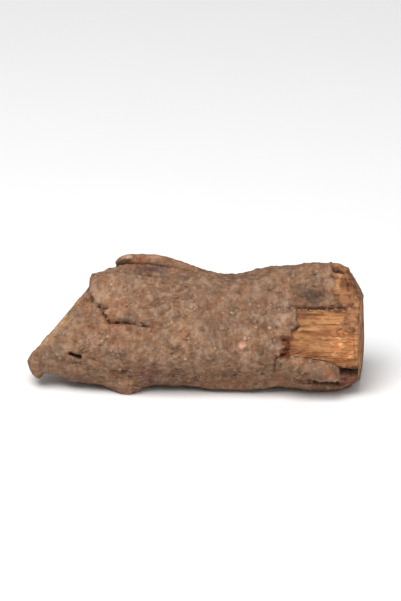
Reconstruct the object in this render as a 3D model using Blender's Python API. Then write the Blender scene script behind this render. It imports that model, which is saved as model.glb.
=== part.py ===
"""A cut length of bramble root in its bark, lying on its belly.

One end is sawn off square and the other is chopped off at a slant. Near the sawn end the bark has broken away
from the broad side and bares the wood, and a curled tongue of bark is left under the bare patch.

Metres, +Z up. X runs along the root towards the sawn end, and -Y is the broad side. The origin is on the ground
under the middle of the root.

The broad side leans back, so its forms are drawn on a plane that leans with it: a place there is an X and a
height up that plane, both in millimetres. A place all round the root is an X and an angle, in degrees from the
far side (+Y) over the top.
"""

import math

import bmesh
import bpy
from mathutils import Vector, noise

MM = 0.001

# How the drawing plane leans back from upright.
LEAN = math.radians(20)

# The outline on the drawing plane, along the root: its crest and its belly.
CREST = (
    (-60, 33), (-40, 34.6), (-33, 35.8), (-27, 37.2), (-20, 38.8), (-8, 38.4), (2, 38.2), (9, 37.6), (16, 38.4),
    (23, 39.6), (32, 40.3), (41, 40.9), (45, 39.6), (47.6, 36.2), (50, 31),
)
BELLY = (
    (-52, 12.5), (-50.6, 10.2), (-49.3, 7.2), (-47.7, 5.6), (-46, 7.2), (-43.5, 7.2), (-38, 4.8), (-31, 4.2),
    (-20, 3.8), (-6, 3.8), (5, 2.8), (16, 2.4), (27, 2.9), (37, 2.6), (44, 2.8), (48, 4.2), (51, 6.5),
)
# How deep the section is along the root, as a share of the middle's.
DEPTH = ((-52, 0.5), (-46, 0.62), (-36, 0.8), (-22, 0.95), (-5, 1.0), (15, 0.97), (32, 1.04), (52, 1.0))

# The section's sides: which way each faces, in degrees, and how far it stands from the middle.
SIDES = ((140, 13.2), (78, 18.5), (14, 15.5), (312, 17.6), (270, 14.6), (214, 15.6))
SIDE_SHARPNESS = 7

# The two cuts. The saw left a face just off square; the chop slants from the tip back over the top.
SAWN_X = 49.5
SAWN_HEIGHT = 20
SAWN_TURN = math.radians(4)
CHOP_TIP = (-50.6, 11.5)
CHOP_TOP = (-32.4, 33.4)
CHOP_TURN = math.radians(-3)

# The bark ledge at the top of the chop was torn, not cut, and hangs over to here.
OVERHANG_X = -32.6

# Layers of the broad side: outlines on the drawing plane and their levels. Where one covers another, the first of
# LAYERS is the one that shows.
TONGUE = (
    (24, 12), (28.1, 12.5), (35, 11.3), (39.1, 10.2), (42.4, 8.9), (43.5, 7.3), (42.9, 5.7), (40, 5.3), (36.3, 5.8),
    (30, 6.2), (25, 7),
)
TONGUE_RISE = 1.5
TONGUE_START = (22, 30)
TONGUE_ROUNDING = 2.6
BARE_WOOD = (
    (30.5, 27.1), (45.1, 27.2), (44.6, 25), (43, 23.4), (44.6, 21.4), (46, 20.6), (56, 20.9), (56, 7.6),
    (44, 8.7), (42.8, 8), (40, 7.8), (34, 8.6), (29.5, 9.6), (28.1, 11.4), (28.1, 17.3), (28.7, 19),
    (29.3, 20.9), (31.6, 22.7), (30, 24.2),
)
SCAR = ((25.4, 18.8), (30, 18.6), (30, 11.3), (26, 11.3), (25.3, 14), (26.8, 16))
INNER_BARK = (
    (44.9, 28), (44.4, 30), (43.3, 34), (41.3, 38), (40.3, 48), (56, 48), (56, 19), (44, 19), (41, 22), (42, 26),
)
LOW_BARK = ((42.7, 9.6), (56, 9.2), (56, -6), (42.2, -6), (42.7, 4.1), (43.2, 6))
LEDGE = (
    (-38, 40), (-34, 35.5), (-32.6, 33.2), (-31.1, 30.5), (-29.7, 28), (-26.9, 25.9), (-26.9, 24.4), (-24.1, 23),
    (-18.4, 22.7), (-17, 22), (-13.4, 22), (-4, 23), (4, 32), (4, 60), (-38, 60),
)
LEDGE_RISE = 1.0
LEDGE_FADE = (-15, 1)
SUNKEN = ((BARE_WOOD, 1.9), (SCAR, 1.0), (INNER_BARK, 0.8), (LOW_BARK, 0.7))
LAYERS = (TONGUE, BARE_WOOD, SCAR, INNER_BARK, LOW_BARK, LEDGE)
# How the bark tore along these outlines: how far in and out, over what length, and half the width of the step.
TEAR_DEPTH = 0.6
TEAR_LENGTH = 2.4
STEP_HALF = 0.2

# Furrows of the broad side: from, to, half width and depth.
FURROWS = (
    ((-24.3, 22.9), (-17.6, 22.4), 0.9, 1.0),
    ((29.5, 27.4), (45.2, 27.5), 0.9, 0.9),
    ((43.6, 8.2), (51, 7.6), 1.0, 1.6),
    ((34, 5.2), (43, 3.8), 0.9, 0.8),
    ((-38, 12.8), (-34.8, 11.5), 1.1, 1.9),
)

# Swellings: X, angle, half length, half width and height.
SWELLINGS = (
    (-20.5, 234, 8.5, 8, 3.4),
    (-47.5, 200, 5, 7, 0.8),
    (8, 28, 9, 7, 2.2),
    (-30, 330, 9, 6, 1.6),
    (36, 330, 9, 8, 1.4),
    (-5, 298, 12, 9, 1.9),
)
# The roll of a side root grown into the crest: its angle, half width, height along X and how round its end is,
# and the furrow before it.
ROLL_ANGLE = 70
ROLL_HALF_WIDTH = 3
ROLL_HEIGHT = ((-25, 0), (-23.6, 2.8), (-19, 4.2), (-12, 3.8), (-4, 1.8), (6, 0))
ROLL_BLUNTNESS = 0.3
ROLL_FURROW_ANGLE = 86
ROLL_FURROW_DEPTH = 1.1
# The cleft along the far side, between the root and the side root that it swallowed.
CLEFT_ANGLE = ((-50, 352), (-20, 346), (10, 340), (52, 352))
CLEFT_DEPTH = ((-48, 0), (-34, 2), (-5, 2.4), (18, 1.2), (30, 0))
CLEFT_HALF_WIDTH = 3.6

# Drying cracks of the sawn face: the angle of each and its depth at the rim.
CRACKS = ((122, 1.6), (238, 1.3), (10, 1.8))
# Steps that the chop left: where each starts up the slanted face, and how deep it is.
CHOP_STEPS = ((9, 0.9), (20, -0.7))

# The sole is cut this far into the belly.
SOLE_CUT = 1.0

# How finely the solid is meshed. The broad side has closer lines, and points near an outline move clear of it.
AROUND = 52
RINGS = 98
END_RINGS = 5
BROAD_ANGLE = 160
BROAD_SHARE = 0.36
CLEAR_OF_STEP = 0.3
SETTLE_REACH = 1.8
SETTLE_POWER = 2.2


def smoothstep(low, high, value):
    """0 below low, 1 above high, and an even slope between."""
    share = min(1.0, max(0.0, (value - low) / (high - low)))
    return share * share * (3 - 2 * share)


def along(points, x):
    """Height at x on a smooth line through points, without overshoot."""
    if x <= points[0][0]:
        return points[0][1]
    if x >= points[-1][0]:
        return points[-1][1]
    i = next(k for k in range(len(points) - 1) if x <= points[k + 1][0])
    (x0, y0), (x1, y1) = points[i], points[i + 1]
    run = x1 - x0

    def slope_at(j):
        if not 0 < j < len(points) - 1:
            return (y1 - y0) / run
        (xa, ya), (xb, yb), (xc, yc) = points[j - 1 : j + 2]
        before, after = (yb - ya) / (xb - xa), (yc - yb) / (xc - xb)
        return 0.0 if before * after <= 0 else 2 * before * after / (before + after)

    t = (x - x0) / run
    ends = y0 * (1 + 2 * t) * (1 - t) ** 2 + y1 * t * t * (3 - 2 * t)
    return ends + run * (slope_at(i) * t * (1 - t) ** 2 - slope_at(i + 1) * t * t * (1 - t))


def to_plane(y, z):
    """Depth towards the viewer and height on the drawing plane, of a point of the section."""
    return -y * math.cos(LEAN) + z * math.sin(LEAN), y * math.sin(LEAN) + z * math.cos(LEAN)


def from_plane(depth, height):
    """The reverse of to_plane."""
    return -depth * math.cos(LEAN) + height * math.sin(LEAN), depth * math.sin(LEAN) + height * math.cos(LEAN)


def plain_section(angle):
    """Depth and height of the rounded polygon that every section is stretched from."""
    total = sum(
        max(0.0, math.cos(math.radians(angle - facing)) / distance) ** SIDE_SHARPNESS for facing, distance in SIDES
    )
    radius = total ** (-1 / SIDE_SHARPNESS)
    return to_plane(radius * math.cos(math.radians(angle)), radius * math.sin(math.radians(angle)))


PLAIN_HEIGHTS = [plain_section(angle)[1] for angle in range(360)]
PLAIN_LOW = min(PLAIN_HEIGHTS)
PLAIN_HIGH = max(PLAIN_HEIGHTS)


def skin(x, angle):
    """A point of the smooth form, in millimetres."""
    depth, height = plain_section(angle)
    share = (height - PLAIN_LOW) / (PLAIN_HIGH - PLAIN_LOW)
    low, high = along(BELLY, x), along(CREST, x)
    return Vector((x, *from_plane(depth * along(DEPTH, x), low + share * (high - low))))


def plane_height(x, angle):
    """How high on the drawing plane a point of the smooth form shows."""
    spot = skin(x, angle)
    return to_plane(spot.y, spot.z)[1]


def skin_facing(x, angle):
    """Which way the smooth form faces there."""
    across = skin(x, angle + 1) - skin(x, angle - 1)
    lengthwise = skin(x + 0.5, angle) - skin(x - 0.5, angle)
    return across.cross(lengthwise).normalized()


def cut_faces():
    """A point and the outward direction of the sawn face and of the chopped face."""
    saw = Vector((math.cos(SAWN_TURN), -math.sin(SAWN_TURN), 0))
    up_the_slant = Vector((CHOP_TOP[0] - CHOP_TIP[0], *from_plane(0, CHOP_TOP[1] - CHOP_TIP[1])))
    away = Vector((math.sin(CHOP_TURN), *from_plane(-math.cos(CHOP_TURN), 0)))
    chop = up_the_slant.cross(away).normalized()
    return (
        (Vector((SAWN_X, *from_plane(0, SAWN_HEIGHT))), saw),
        (Vector((CHOP_TIP[0], *from_plane(0, CHOP_TIP[1]))), -chop if chop.x > 0 else chop),
    )


def meeting(angle, point, facing, low, high):
    """The X where the skin at an angle meets a cut face, by halving."""
    for _ in range(24):
        x = (low + high) / 2
        if (skin(x, angle) - point).dot(facing) * facing.x > 0:
            high = x
        else:
            low = x
    return (low + high) / 2


def off_line(start, end, place):
    """The way from the nearest point of a line to a place."""
    start, place = Vector(start), Vector(place)
    run = Vector(end) - start
    share = min(1.0, max(0.0, (place - start).dot(run) / run.length_squared))
    return place - start - share * run


def inside_by(outline, place):
    """How far a place lies inside a torn outline, which is below 0 outside it, and the way out to in there."""
    x, height = place
    nearest, inside = Vector((1e9, 0)), False
    for (xa, ha), (xb, hb) in zip(outline, outline[1:] + outline[:1]):
        off = off_line((xa, ha), (xb, hb), place)
        if off.length < nearest.length:
            nearest = off
        if (ha > height) != (hb > height) and x < xa + (xb - xa) * (height - ha) / (hb - ha):
            inside = not inside
    side = 1 if inside else -1
    torn = TEAR_DEPTH * noise.noise(Vector((x, height, 7)) / TEAR_LENGTH)
    return side * nearest.length + torn, side * nearest.normalized()


def nearest_step(place):
    """How far a place lies inside the nearest torn outline that shows, and the way out to in."""
    nearest = (1e9, Vector((0, 0)))
    for outline in LAYERS:
        found = inside_by(outline, place)
        nearest = min(nearest, found, key=lambda pair: abs(pair[0]))
        if found[0] > 0:
            break
    return nearest


def settle(x, angle):
    """Moves a place of the broad side clear of the torn outline that runs close by, so that the step is sharp."""
    inside, inward = nearest_step((x, plane_height(x, angle)))
    off = min(SETTLE_REACH, abs(inside))
    settled = CLEAR_OF_STEP + (SETTLE_REACH - CLEAR_OF_STEP) * (off / SETTLE_REACH) ** SETTLE_POWER
    move = inward * math.copysign(settled - off, inside) * broad_share(angle)
    per_degree = min(-0.15, (plane_height(x, angle + 1) - plane_height(x, angle - 1)) / 2)
    return x + move.x, angle + move.y / per_degree


def broad_share(angle):
    """1 on the broad side, and 0 all round the rest."""
    return smoothstep(60, 76, angle) * (1 - smoothstep(242, 256, angle))


def within(outline, place):
    """1 inside a torn outline and 0 outside it."""
    return smoothstep(-STEP_HALF, STEP_HALF, inside_by(outline, place)[0])


def broad_side_relief(place):
    """The levels and furrows of the broad side."""
    relief = 0.0
    for outline, sink in reversed(SUNKEN):
        relief += (-sink - relief) * within(outline, place)
    rounding = math.sqrt(smoothstep(-STEP_HALF, TONGUE_ROUNDING, inside_by(TONGUE, place)[0]))
    rise = TONGUE_RISE * rounding * smoothstep(*TONGUE_START, place[0])
    relief += (rise - relief) * within(TONGUE, place)
    for start, end, half_width, depth in FURROWS:
        relief -= depth * smoothstep(half_width, 0, off_line(start, end, place).length)
    return relief


def all_round_relief(x, angle, spot):
    """The swellings, the roll on the crest, the ledge, the cleft and the bark's own lumps and flutes."""
    relief = 0.0
    girth = math.radians(1) * 17
    for at, facing, half_length, half_width, height in SWELLINGS:
        aside = ((angle - facing + 180) % 360 - 180) * girth
        relief += height * smoothstep(1, 0, math.hypot((x - at) / half_length, aside / half_width))
    aside = abs((angle - ROLL_ANGLE) * girth)
    rise = along(ROLL_HEIGHT, x - ROLL_BLUNTNESS * aside**2)
    relief += rise * math.sqrt(max(0.0, 1 - (aside / ROLL_HALF_WIDTH) ** 2))
    aside = abs((angle - ROLL_FURROW_ANGLE) * girth)
    relief -= ROLL_FURROW_DEPTH * smoothstep(2, 0, aside) * smoothstep(0, 3, along(ROLL_HEIGHT, x - 1))
    aside = abs(((angle - along(CLEFT_ANGLE, x) + 180) % 360 - 180) * girth)
    relief -= along(CLEFT_DEPTH, x) * smoothstep(CLEFT_HALF_WIDTH, 0, aside)
    relief += LEDGE_RISE * within(LEDGE, (x, to_plane(spot.y, spot.z)[1])) * (1 - smoothstep(*LEDGE_FADE, x))
    lumps = 0.9 * noise.noise(spot / 17) + 0.45 * noise.noise(spot / 7.5)
    flutes = 0.4 * noise.noise(Vector((spot.x / 19, spot.y / 3.6, spot.z / 3.6)))
    return relief, lumps, flutes


def bark_spot(x, angle):
    """A point of the finished skin, in millimetres."""
    broad = broad_share(angle)
    if broad > 0:
        x, angle = settle(x, angle)
    spot = skin(x, angle)
    relief, lumps, flutes = all_round_relief(x, angle, spot)
    if broad > 0:
        place = (x, plane_height(x, angle))
        relief += broad * broad_side_relief(place)
        flutes *= 1 - broad * within(BARE_WOOD, place)
    return spot + skin_facing(x, angle) * (relief + lumps + flutes)


def sawn_relief(angle, share):
    """How far the sawn face stands in or out: the drying cracks and a slight hollow."""
    relief = -0.3 * (1 - share)
    for facing, depth in CRACKS:
        aside = abs((angle - facing + 180) % 360 - 180)
        relief -= depth * smoothstep(5, 0, aside) * smoothstep(0.15, 0.6, share)
    return relief


def chopped_relief(up, spot):
    """How far the chopped face stands in or out: the steps of the blows and torn fibres."""
    relief = 0.5 * noise.noise(spot / 4)
    for start, depth in CHOP_STEPS:
        relief -= depth * smoothstep(start - 0.8, start + 0.8, up)
    return relief


def on_plane(spot, point, facing):
    """The same point, moved along the root onto a plane."""
    return spot + Vector(((point - spot).dot(facing) / facing.x, 0, 0))


def line_angle(turn):
    """The angle of one of the lines that run along the root."""
    even = turn / AROUND
    closer = BROAD_SHARE * math.sin(math.tau * (even - BROAD_ANGLE / 360)) / math.tau
    return 360 * (even - closer) % 360


def root_form():
    """The whole skin: a ball's rings, laid out as the chopped face, the length of the root and the sawn face."""
    form = bmesh.new()
    bmesh.ops.create_uvsphere(form, u_segments=AROUND, v_segments=RINGS, radius=1)
    (saw_point, saw_facing), (chop_point, chop_facing) = cut_faces()
    up_the_slant = Vector((CHOP_TOP[0] - CHOP_TIP[0], *from_plane(0, CHOP_TOP[1] - CHOP_TIP[1]))).normalized()
    angles = [line_angle(turn) for turn in range(AROUND)]
    lefts = [meeting(angle, chop_point, chop_facing, -60, 20) for angle in angles]
    rights = [meeting(angle, saw_point, saw_facing, 20, 60) for angle in angles]
    left_rim = [on_plane(bark_spot(left, angle), chop_point, chop_facing) for left, angle in zip(lefts, angles)]
    right_rim = [on_plane(bark_spot(right, angle), saw_point, saw_facing) for right, angle in zip(rights, angles)]
    for turn, left in enumerate(lefts):
        if left > OVERHANG_X:
            lefts[turn] = OVERHANG_X
            left_rim[turn] = bark_spot(OVERHANG_X, angles[turn])
            left_rim[turn].x = OVERHANG_X
    left_middle = sum(left_rim, Vector()) / AROUND
    right_middle = sum(right_rim, Vector()) / AROUND
    for v in form.verts:
        ring = round(math.acos(max(-1, min(1, -v.co.z))) / math.pi * RINGS)
        turn = round(math.atan2(v.co.y, v.co.x) / math.tau * AROUND) % AROUND
        angle = angles[turn]
        if ring < END_RINGS:
            share = ring / END_RINGS
            spot = left_middle.lerp(left_rim[turn], share)
            relief = chopped_relief((spot - chop_point).dot(up_the_slant), spot)
            spot += chop_facing * relief * smoothstep(1, 0.7, share)
        elif ring > RINGS - END_RINGS:
            share = (RINGS - ring) / END_RINGS
            spot = right_middle.lerp(right_rim[turn], share) + saw_facing * sawn_relief(angle, share)
        else:
            share = (ring - END_RINGS) / (RINGS - 2 * END_RINGS)
            spot = bark_spot(lefts[turn] + (rights[turn] - lefts[turn]) * share, angle)
            if ring == END_RINGS:
                spot = left_rim[turn]
            elif ring == RINGS - END_RINGS:
                spot = right_rim[turn]
        v.co = spot * MM
    bmesh.ops.recalc_face_normals(form, faces=form.faces)
    return form


def cut_sole(form):
    """Flattens the belly where the root lies on the ground, and brings the origin there."""
    ground = min(v.co.z for v in form.verts) + SOLE_CUT * MM
    everything = form.verts[:] + form.edges[:] + form.faces[:]
    cut = bmesh.ops.bisect_plane(form, geom=everything, plane_co=(0, 0, ground), plane_no=(0, 0, -1), clear_outer=True)
    rim = [e for e in cut["geom_cut"] if isinstance(e, bmesh.types.BMEdge)]
    bmesh.ops.holes_fill(form, edges=rim)
    xs, ys = [v.co.x for v in form.verts], [v.co.y for v in form.verts]
    middle = Vector(((min(xs) + max(xs)) / 2, (min(ys) + max(ys)) / 2, ground))
    bmesh.ops.translate(form, verts=form.verts, vec=-middle)


def root_finish():
    """Grey-brown bark, as a plain colour."""
    finish = bpy.data.materials.new("bark")
    finish.use_nodes = True
    shader = finish.node_tree.nodes["Principled BSDF"]
    shader.inputs["Base Color"].default_value = (0.29, 0.165, 0.105, 1)
    shader.inputs["Roughness"].default_value = 0.9
    shader.inputs["Metallic"].default_value = 0
    return finish


def main():
    """Clears the scene and makes the root."""
    for old in list(bpy.data.objects):
        bpy.data.objects.remove(old)
    form = root_form()
    cut_sole(form)
    mesh = bpy.data.meshes.new("root")
    form.to_mesh(mesh)
    form.free()
    mesh.materials.append(root_finish())
    parts = bpy.data.collections.new("bramble_root")
    bpy.context.scene.collection.children.link(parts)
    parts.objects.link(bpy.data.objects.new("root", mesh))


main()
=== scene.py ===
"""The looks of a cut length of bramble root: bark, the wood laid bare, the two cut ends, and a plain studio.

The root is drawn in millimetres, as the solid is, and brought into the frame's metres last. X runs along the
root. A place on the broad side is an X and a height up a drawing plane that leans back with it. A place all
round the root is an X and an angle, in degrees from the far side over the top.
"""

import logging
import math
from dataclasses import dataclass, field
from enum import Enum
from typing import Callable, Iterable, Protocol, Sequence, Union

import bpy
import numpy as np
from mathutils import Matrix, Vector, noise


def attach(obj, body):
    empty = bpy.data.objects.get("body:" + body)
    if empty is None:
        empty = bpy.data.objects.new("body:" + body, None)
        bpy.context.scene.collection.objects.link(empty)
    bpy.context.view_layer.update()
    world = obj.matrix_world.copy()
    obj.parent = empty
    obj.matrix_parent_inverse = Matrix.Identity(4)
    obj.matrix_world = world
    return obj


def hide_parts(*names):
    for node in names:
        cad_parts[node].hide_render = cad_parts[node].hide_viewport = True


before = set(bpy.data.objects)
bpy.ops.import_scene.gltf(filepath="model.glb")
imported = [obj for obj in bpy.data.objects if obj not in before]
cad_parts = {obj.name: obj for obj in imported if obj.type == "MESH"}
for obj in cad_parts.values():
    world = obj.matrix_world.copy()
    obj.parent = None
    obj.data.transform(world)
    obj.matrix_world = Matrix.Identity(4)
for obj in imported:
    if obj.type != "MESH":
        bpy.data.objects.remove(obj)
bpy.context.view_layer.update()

log = logging.getLogger("bramble_root")

MM = 0.001
NODE = "root"
BODY = "root"
OUTSIDE = -9.0

Values = np.ndarray
Number = Union[float, Values]
Size = Union[float, Sequence[float]]
Pair = tuple[float, float]
Points = tuple[Pair, ...]
Three = tuple[float, float, float]
Colour = Three
Socket = bpy.types.NodeSocket


def smoothstep(low: float, high: float, value: Values) -> Values:
    """0 at low and beyond, 1 at high and beyond, and an even slope between."""
    share = np.clip((value - low) / (high - low), 0.0, 1.0)
    return share * share * (3 - 2 * share)


def turned(angle: Values, facing: Number) -> Values:
    """How far an angle is turned from another, from -180 to 180 degrees."""
    return (angle - facing + 180) % 360 - 180


def spaced(x: Number, across: Number = 0.0, up: Number = 0.0) -> Values:
    """Spots, one a row, from their coordinates."""
    return np.stack(np.broadcast_arrays(x, across, up), axis=-1)


def waves(spots: Values, size: Size, seed: float = 0.0) -> Values:
    """Smooth noise at each spot.

    Args:
        spots: Places in millimetres, one a row.
        size: The length of a wave, or one for each axis.
        seed: Where in the noise to start.

    Returns:
        Values from about -1 to 1.
    """
    scaled = spots / np.asarray(size, float) + seed * np.array((0.0, 3.7, 9.1))
    return np.fromiter(map(noise.noise, scaled.tolist()), float, len(scaled))


def rough_waves(spots: Values, size: Sequence[float], octaves: int, seed: float) -> Values:
    """Noise of several sizes at each spot, the largest as waves() gives it.

    Args:
        spots: Places in millimetres, one a row.
        size: The length of the longest waves along each axis.
        octaves: How many sizes, each half the one before.
        seed: Where in the noise to start.

    Returns:
        Values from about -2 to 2.
    """
    total = np.zeros(len(spots))
    for octave in range(octaves):
        total += waves(spots, np.asarray(size, float) / 2**octave, seed + octave) / 2**octave
    return total


def grains(spots: Values, size: Sequence[float]) -> Values:
    """Rounded grains packed side by side: 1 on top of each and 0 between them.

    Args:
        spots: Places in millimetres, one a row.
        size: How large a grain is along each axis.

    Returns:
        Values from 0 to 1.
    """
    scaled = (spots / np.asarray(size, float)).tolist()
    nearest = np.fromiter((noise.voronoi(place)[0][0] for place in scaled), float, len(scaled))
    return 1 - np.clip(nearest * 1.5, 0, 1) ** 2


def unit(vectors: Values) -> Values:
    """Each row made one long."""
    return vectors / np.maximum(np.linalg.norm(vectors, axis=-1, keepdims=True), 1e-12)


@dataclass(frozen=True)
class Line:
    """A smooth line through points, without overshoot."""

    points: Points

    def at(self, x: Values) -> Values:
        """The line's height at each x.

        Args:
            x: The xs, which the line's ends limit.

        Returns:
            The heights.
        """
        xs, ys = np.array(self.points, float).T
        runs = np.diff(xs)
        slopes = np.diff(ys) / runs
        before, after = slopes[:-1], slopes[1:]
        level = before * after <= 0
        inner = np.where(level, 0, 2 * before * after / np.where(level, 1, before + after))
        ends = np.concatenate(([slopes[0]], inner, [slopes[-1]]))
        x = np.clip(x, xs[0], xs[-1])
        i = np.clip(np.searchsorted(xs[1:], x), 0, len(runs) - 1)
        t = (x - xs[i]) / runs[i]
        height = ys[i] * (1 + 2 * t) * (1 - t) ** 2 + ys[i + 1] * t * t * (3 - 2 * t)
        return height + runs[i] * (ends[i] * t * (1 - t) ** 2 - ends[i + 1] * t * t * (1 - t))


@dataclass(frozen=True)
class Drawing:
    """The smooth form of the root, on which everything else stands.

    The crest and the belly give its heights on the drawing plane along the root, and depth how thick it is
    beside its thickest part. Sides are the angles and distances of the polygon that its sections round off.
    The origin is where the frame's own lies in the drawing.
    """

    lean: float = math.radians(20)
    origin: Three = (-0.2983, 7.0155, 2.5298)
    crest: Line = Line((
        (-60, 33), (-40, 34.6), (-33, 35.8), (-27, 37.2), (-20, 38.8), (-8, 38.4), (2, 38.2), (9, 37.6),
        (16, 38.4), (23, 39.6), (32, 40.3), (41, 40.9), (45, 39.6), (47.6, 36.2), (50, 31),
    ))
    belly: Line = Line((
        (-52, 12.5), (-50.6, 10.2), (-49.3, 7.2), (-47.7, 5.6), (-46, 7.2), (-43.5, 7.2), (-38, 4.8),
        (-31, 4.2), (-20, 3.8), (-6, 3.8), (5, 2.8), (16, 2.4), (27, 2.9), (37, 2.6), (44, 2.8), (48, 4.2),
        (51, 6.5),
    ))
    depth: Line = Line((
        (-52, 0.5), (-46, 0.62), (-36, 0.8), (-22, 0.95), (-5, 1), (15, 0.97), (32, 1.04), (52, 1),
    ))
    sides: Points = ((140, 13.2), (78, 18.5), (14, 15.5), (312, 17.6), (270, 14.6), (214, 15.6))
    sharpness: float = 7
    broad_side: Pair = (75, 255)

    def to_plane(self, y: Values, z: Values) -> tuple[Values, Values]:
        """Depth towards the viewer and height on the drawing plane."""
        cos, sin = math.cos(self.lean), math.sin(self.lean)
        return -y * cos + z * sin, y * sin + z * cos

    def from_plane(self, depth: Values, height: Values) -> tuple[Values, Values]:
        """The reverse of to_plane."""
        cos, sin = math.cos(self.lean), math.sin(self.lean)
        return -depth * cos + height * sin, depth * sin + height * cos

    def section(self, angle: Values) -> tuple[Values, Values]:
        """Depth and height of the rounded polygon that every section is stretched from.

        Args:
            angle: The angles round the root, in degrees.

        Returns:
            The depths and the heights.
        """
        total = sum(
            np.maximum(0, np.cos(np.radians(angle - facing)) / distance) ** self.sharpness
            for facing, distance in self.sides
        )
        radius = total ** (-1 / self.sharpness)
        return self.to_plane(radius * np.cos(np.radians(angle)), radius * np.sin(np.radians(angle)))

    def skin(self, x: Values, angle: Values) -> Values:
        """Points of the smooth form, one a row.

        Args:
            x: How far along the root, in millimetres.
            angle: The angle round it, in degrees.

        Returns:
            The points, in millimetres.
        """
        heights = self.section(np.arange(360.0))[1]
        depth, height = self.section(angle)
        share = (height - heights.min()) / (heights.max() - heights.min())
        low, high = self.belly.at(x), self.crest.at(x)
        y, z = self.from_plane(depth * self.depth.at(x), low + share * (high - low))
        return np.stack((x, y, z), axis=-1)

    def height(self, x: Values, angle: Values) -> Values:
        """How high on the drawing plane a point of the smooth form shows."""
        return self.seen(self.skin(x, angle))[:, 1]

    def seen(self, spots: Values) -> Values:
        """The X and the height on the drawing plane at which spots show."""
        return np.column_stack((spots[:, 0], self.to_plane(spots[:, 1], spots[:, 2])[1]))

    def facing(self, x: Values, angle: Values) -> Values:
        """Which way the smooth form faces.

        Args:
            x: How far along the root, in millimetres.
            angle: The angle round it, in degrees.

        Returns:
            Ways out of the root, one long, one a row.
        """
        across = self.skin(x, angle + 1) - self.skin(x, angle - 1)
        lengthwise = self.skin(x + 0.5, angle) - self.skin(x - 0.5, angle)
        return unit(np.cross(across, lengthwise))

    def angle_at(self, x: Values, height: Values) -> Values:
        """The angle at which a height on the drawing plane lies on the broad side.

        Args:
            x: How far along the root, in millimetres.
            height: The height on the drawing plane.

        Returns:
            The angle, in degrees.
        """
        low, high = (np.full(len(x), float(end)) for end in self.broad_side)
        for _ in range(20):
            middle = (low + high) / 2
            above = self.height(x, middle) > height
            low, high = np.where(above, middle, low), np.where(above, high, middle)
        return (low + high) / 2

    def framed(self, spots: Values) -> Values:
        """Points of the drawing brought into the frame, in metres."""
        return (spots - np.array(self.origin)) * MM


DRAWING = Drawing()


@dataclass(frozen=True)
class CutPlane:
    """A flat cut through the root."""

    point: Three
    facing: Three

    def over(self, spots: Values) -> Values:
        """How far points stand out of the plane."""
        return (spots - np.array(self.point)) @ np.array(self.facing)

    def meeting(self, angle: Values, low: float, high: float) -> Values:
        """The X where the skin at each angle meets the plane, by halving.

        Args:
            angle: The angles round the root, in degrees.
            low: An X left of every meeting.
            high: An X right of every meeting.

        Returns:
            The Xs.
        """
        lows, highs = np.full(len(angle), float(low)), np.full(len(angle), float(high))
        for _ in range(24):
            x = (lows + highs) / 2
            out = self.over(DRAWING.skin(x, angle)) * self.facing[0] > 0
            lows, highs = np.where(out, lows, x), np.where(out, x, highs)
        return (lows + highs) / 2

    def reached(self, spots: Values) -> Values:
        """The same points, moved along the root onto the plane.

        Args:
            spots: Places in millimetres, one a row.

        Returns:
            The moved points.
        """
        moved = spots.copy()
        moved[:, 0] -= self.over(spots) / self.facing[0]
        return moved


@dataclass(frozen=True)
class Cuts:
    """The saw's cut, just off square, and the slanting chop."""

    sawn_x: float = 49.5
    sawn_height: float = 20
    sawn_turn: float = math.radians(4)
    chop_tip: Pair = (-50.6, 11.5)
    chop_top: Pair = (-32.4, 33.4)
    chop_turn: float = math.radians(-3)
    overhang_x: float = -32.6

    def up_the_slant(self) -> Vector:
        """The way up the chopped face."""
        run, rise = self.chop_top[0] - self.chop_tip[0], self.chop_top[1] - self.chop_tip[1]
        return Vector((run, *DRAWING.from_plane(0, rise))).normalized()

    def sawn(self) -> CutPlane:
        """The sawn face."""
        facing = (math.cos(self.sawn_turn), -math.sin(self.sawn_turn), 0.0)
        return CutPlane((self.sawn_x, *DRAWING.from_plane(0, self.sawn_height)), facing)

    def chopped(self) -> CutPlane:
        """The chopped face.

        Returns:
            Its plane.
        """
        away = Vector((math.sin(self.chop_turn), *DRAWING.from_plane(-math.cos(self.chop_turn), 0)))
        facing = self.up_the_slant().cross(away).normalized()
        facing = -facing if facing.x > 0 else facing
        return CutPlane((self.chop_tip[0], *DRAWING.from_plane(0, self.chop_tip[1])), tuple(facing))

    def left_end(self, angle: Values) -> Values:
        """The X where the skin at each angle meets the chop."""
        return self.chopped().meeting(angle, -60, 20)

    def right_end(self, angle: Values) -> Values:
        """The X where the skin at each angle meets the saw's cut."""
        return self.sawn().meeting(angle, 20, 60)


CUTS = Cuts()


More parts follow.
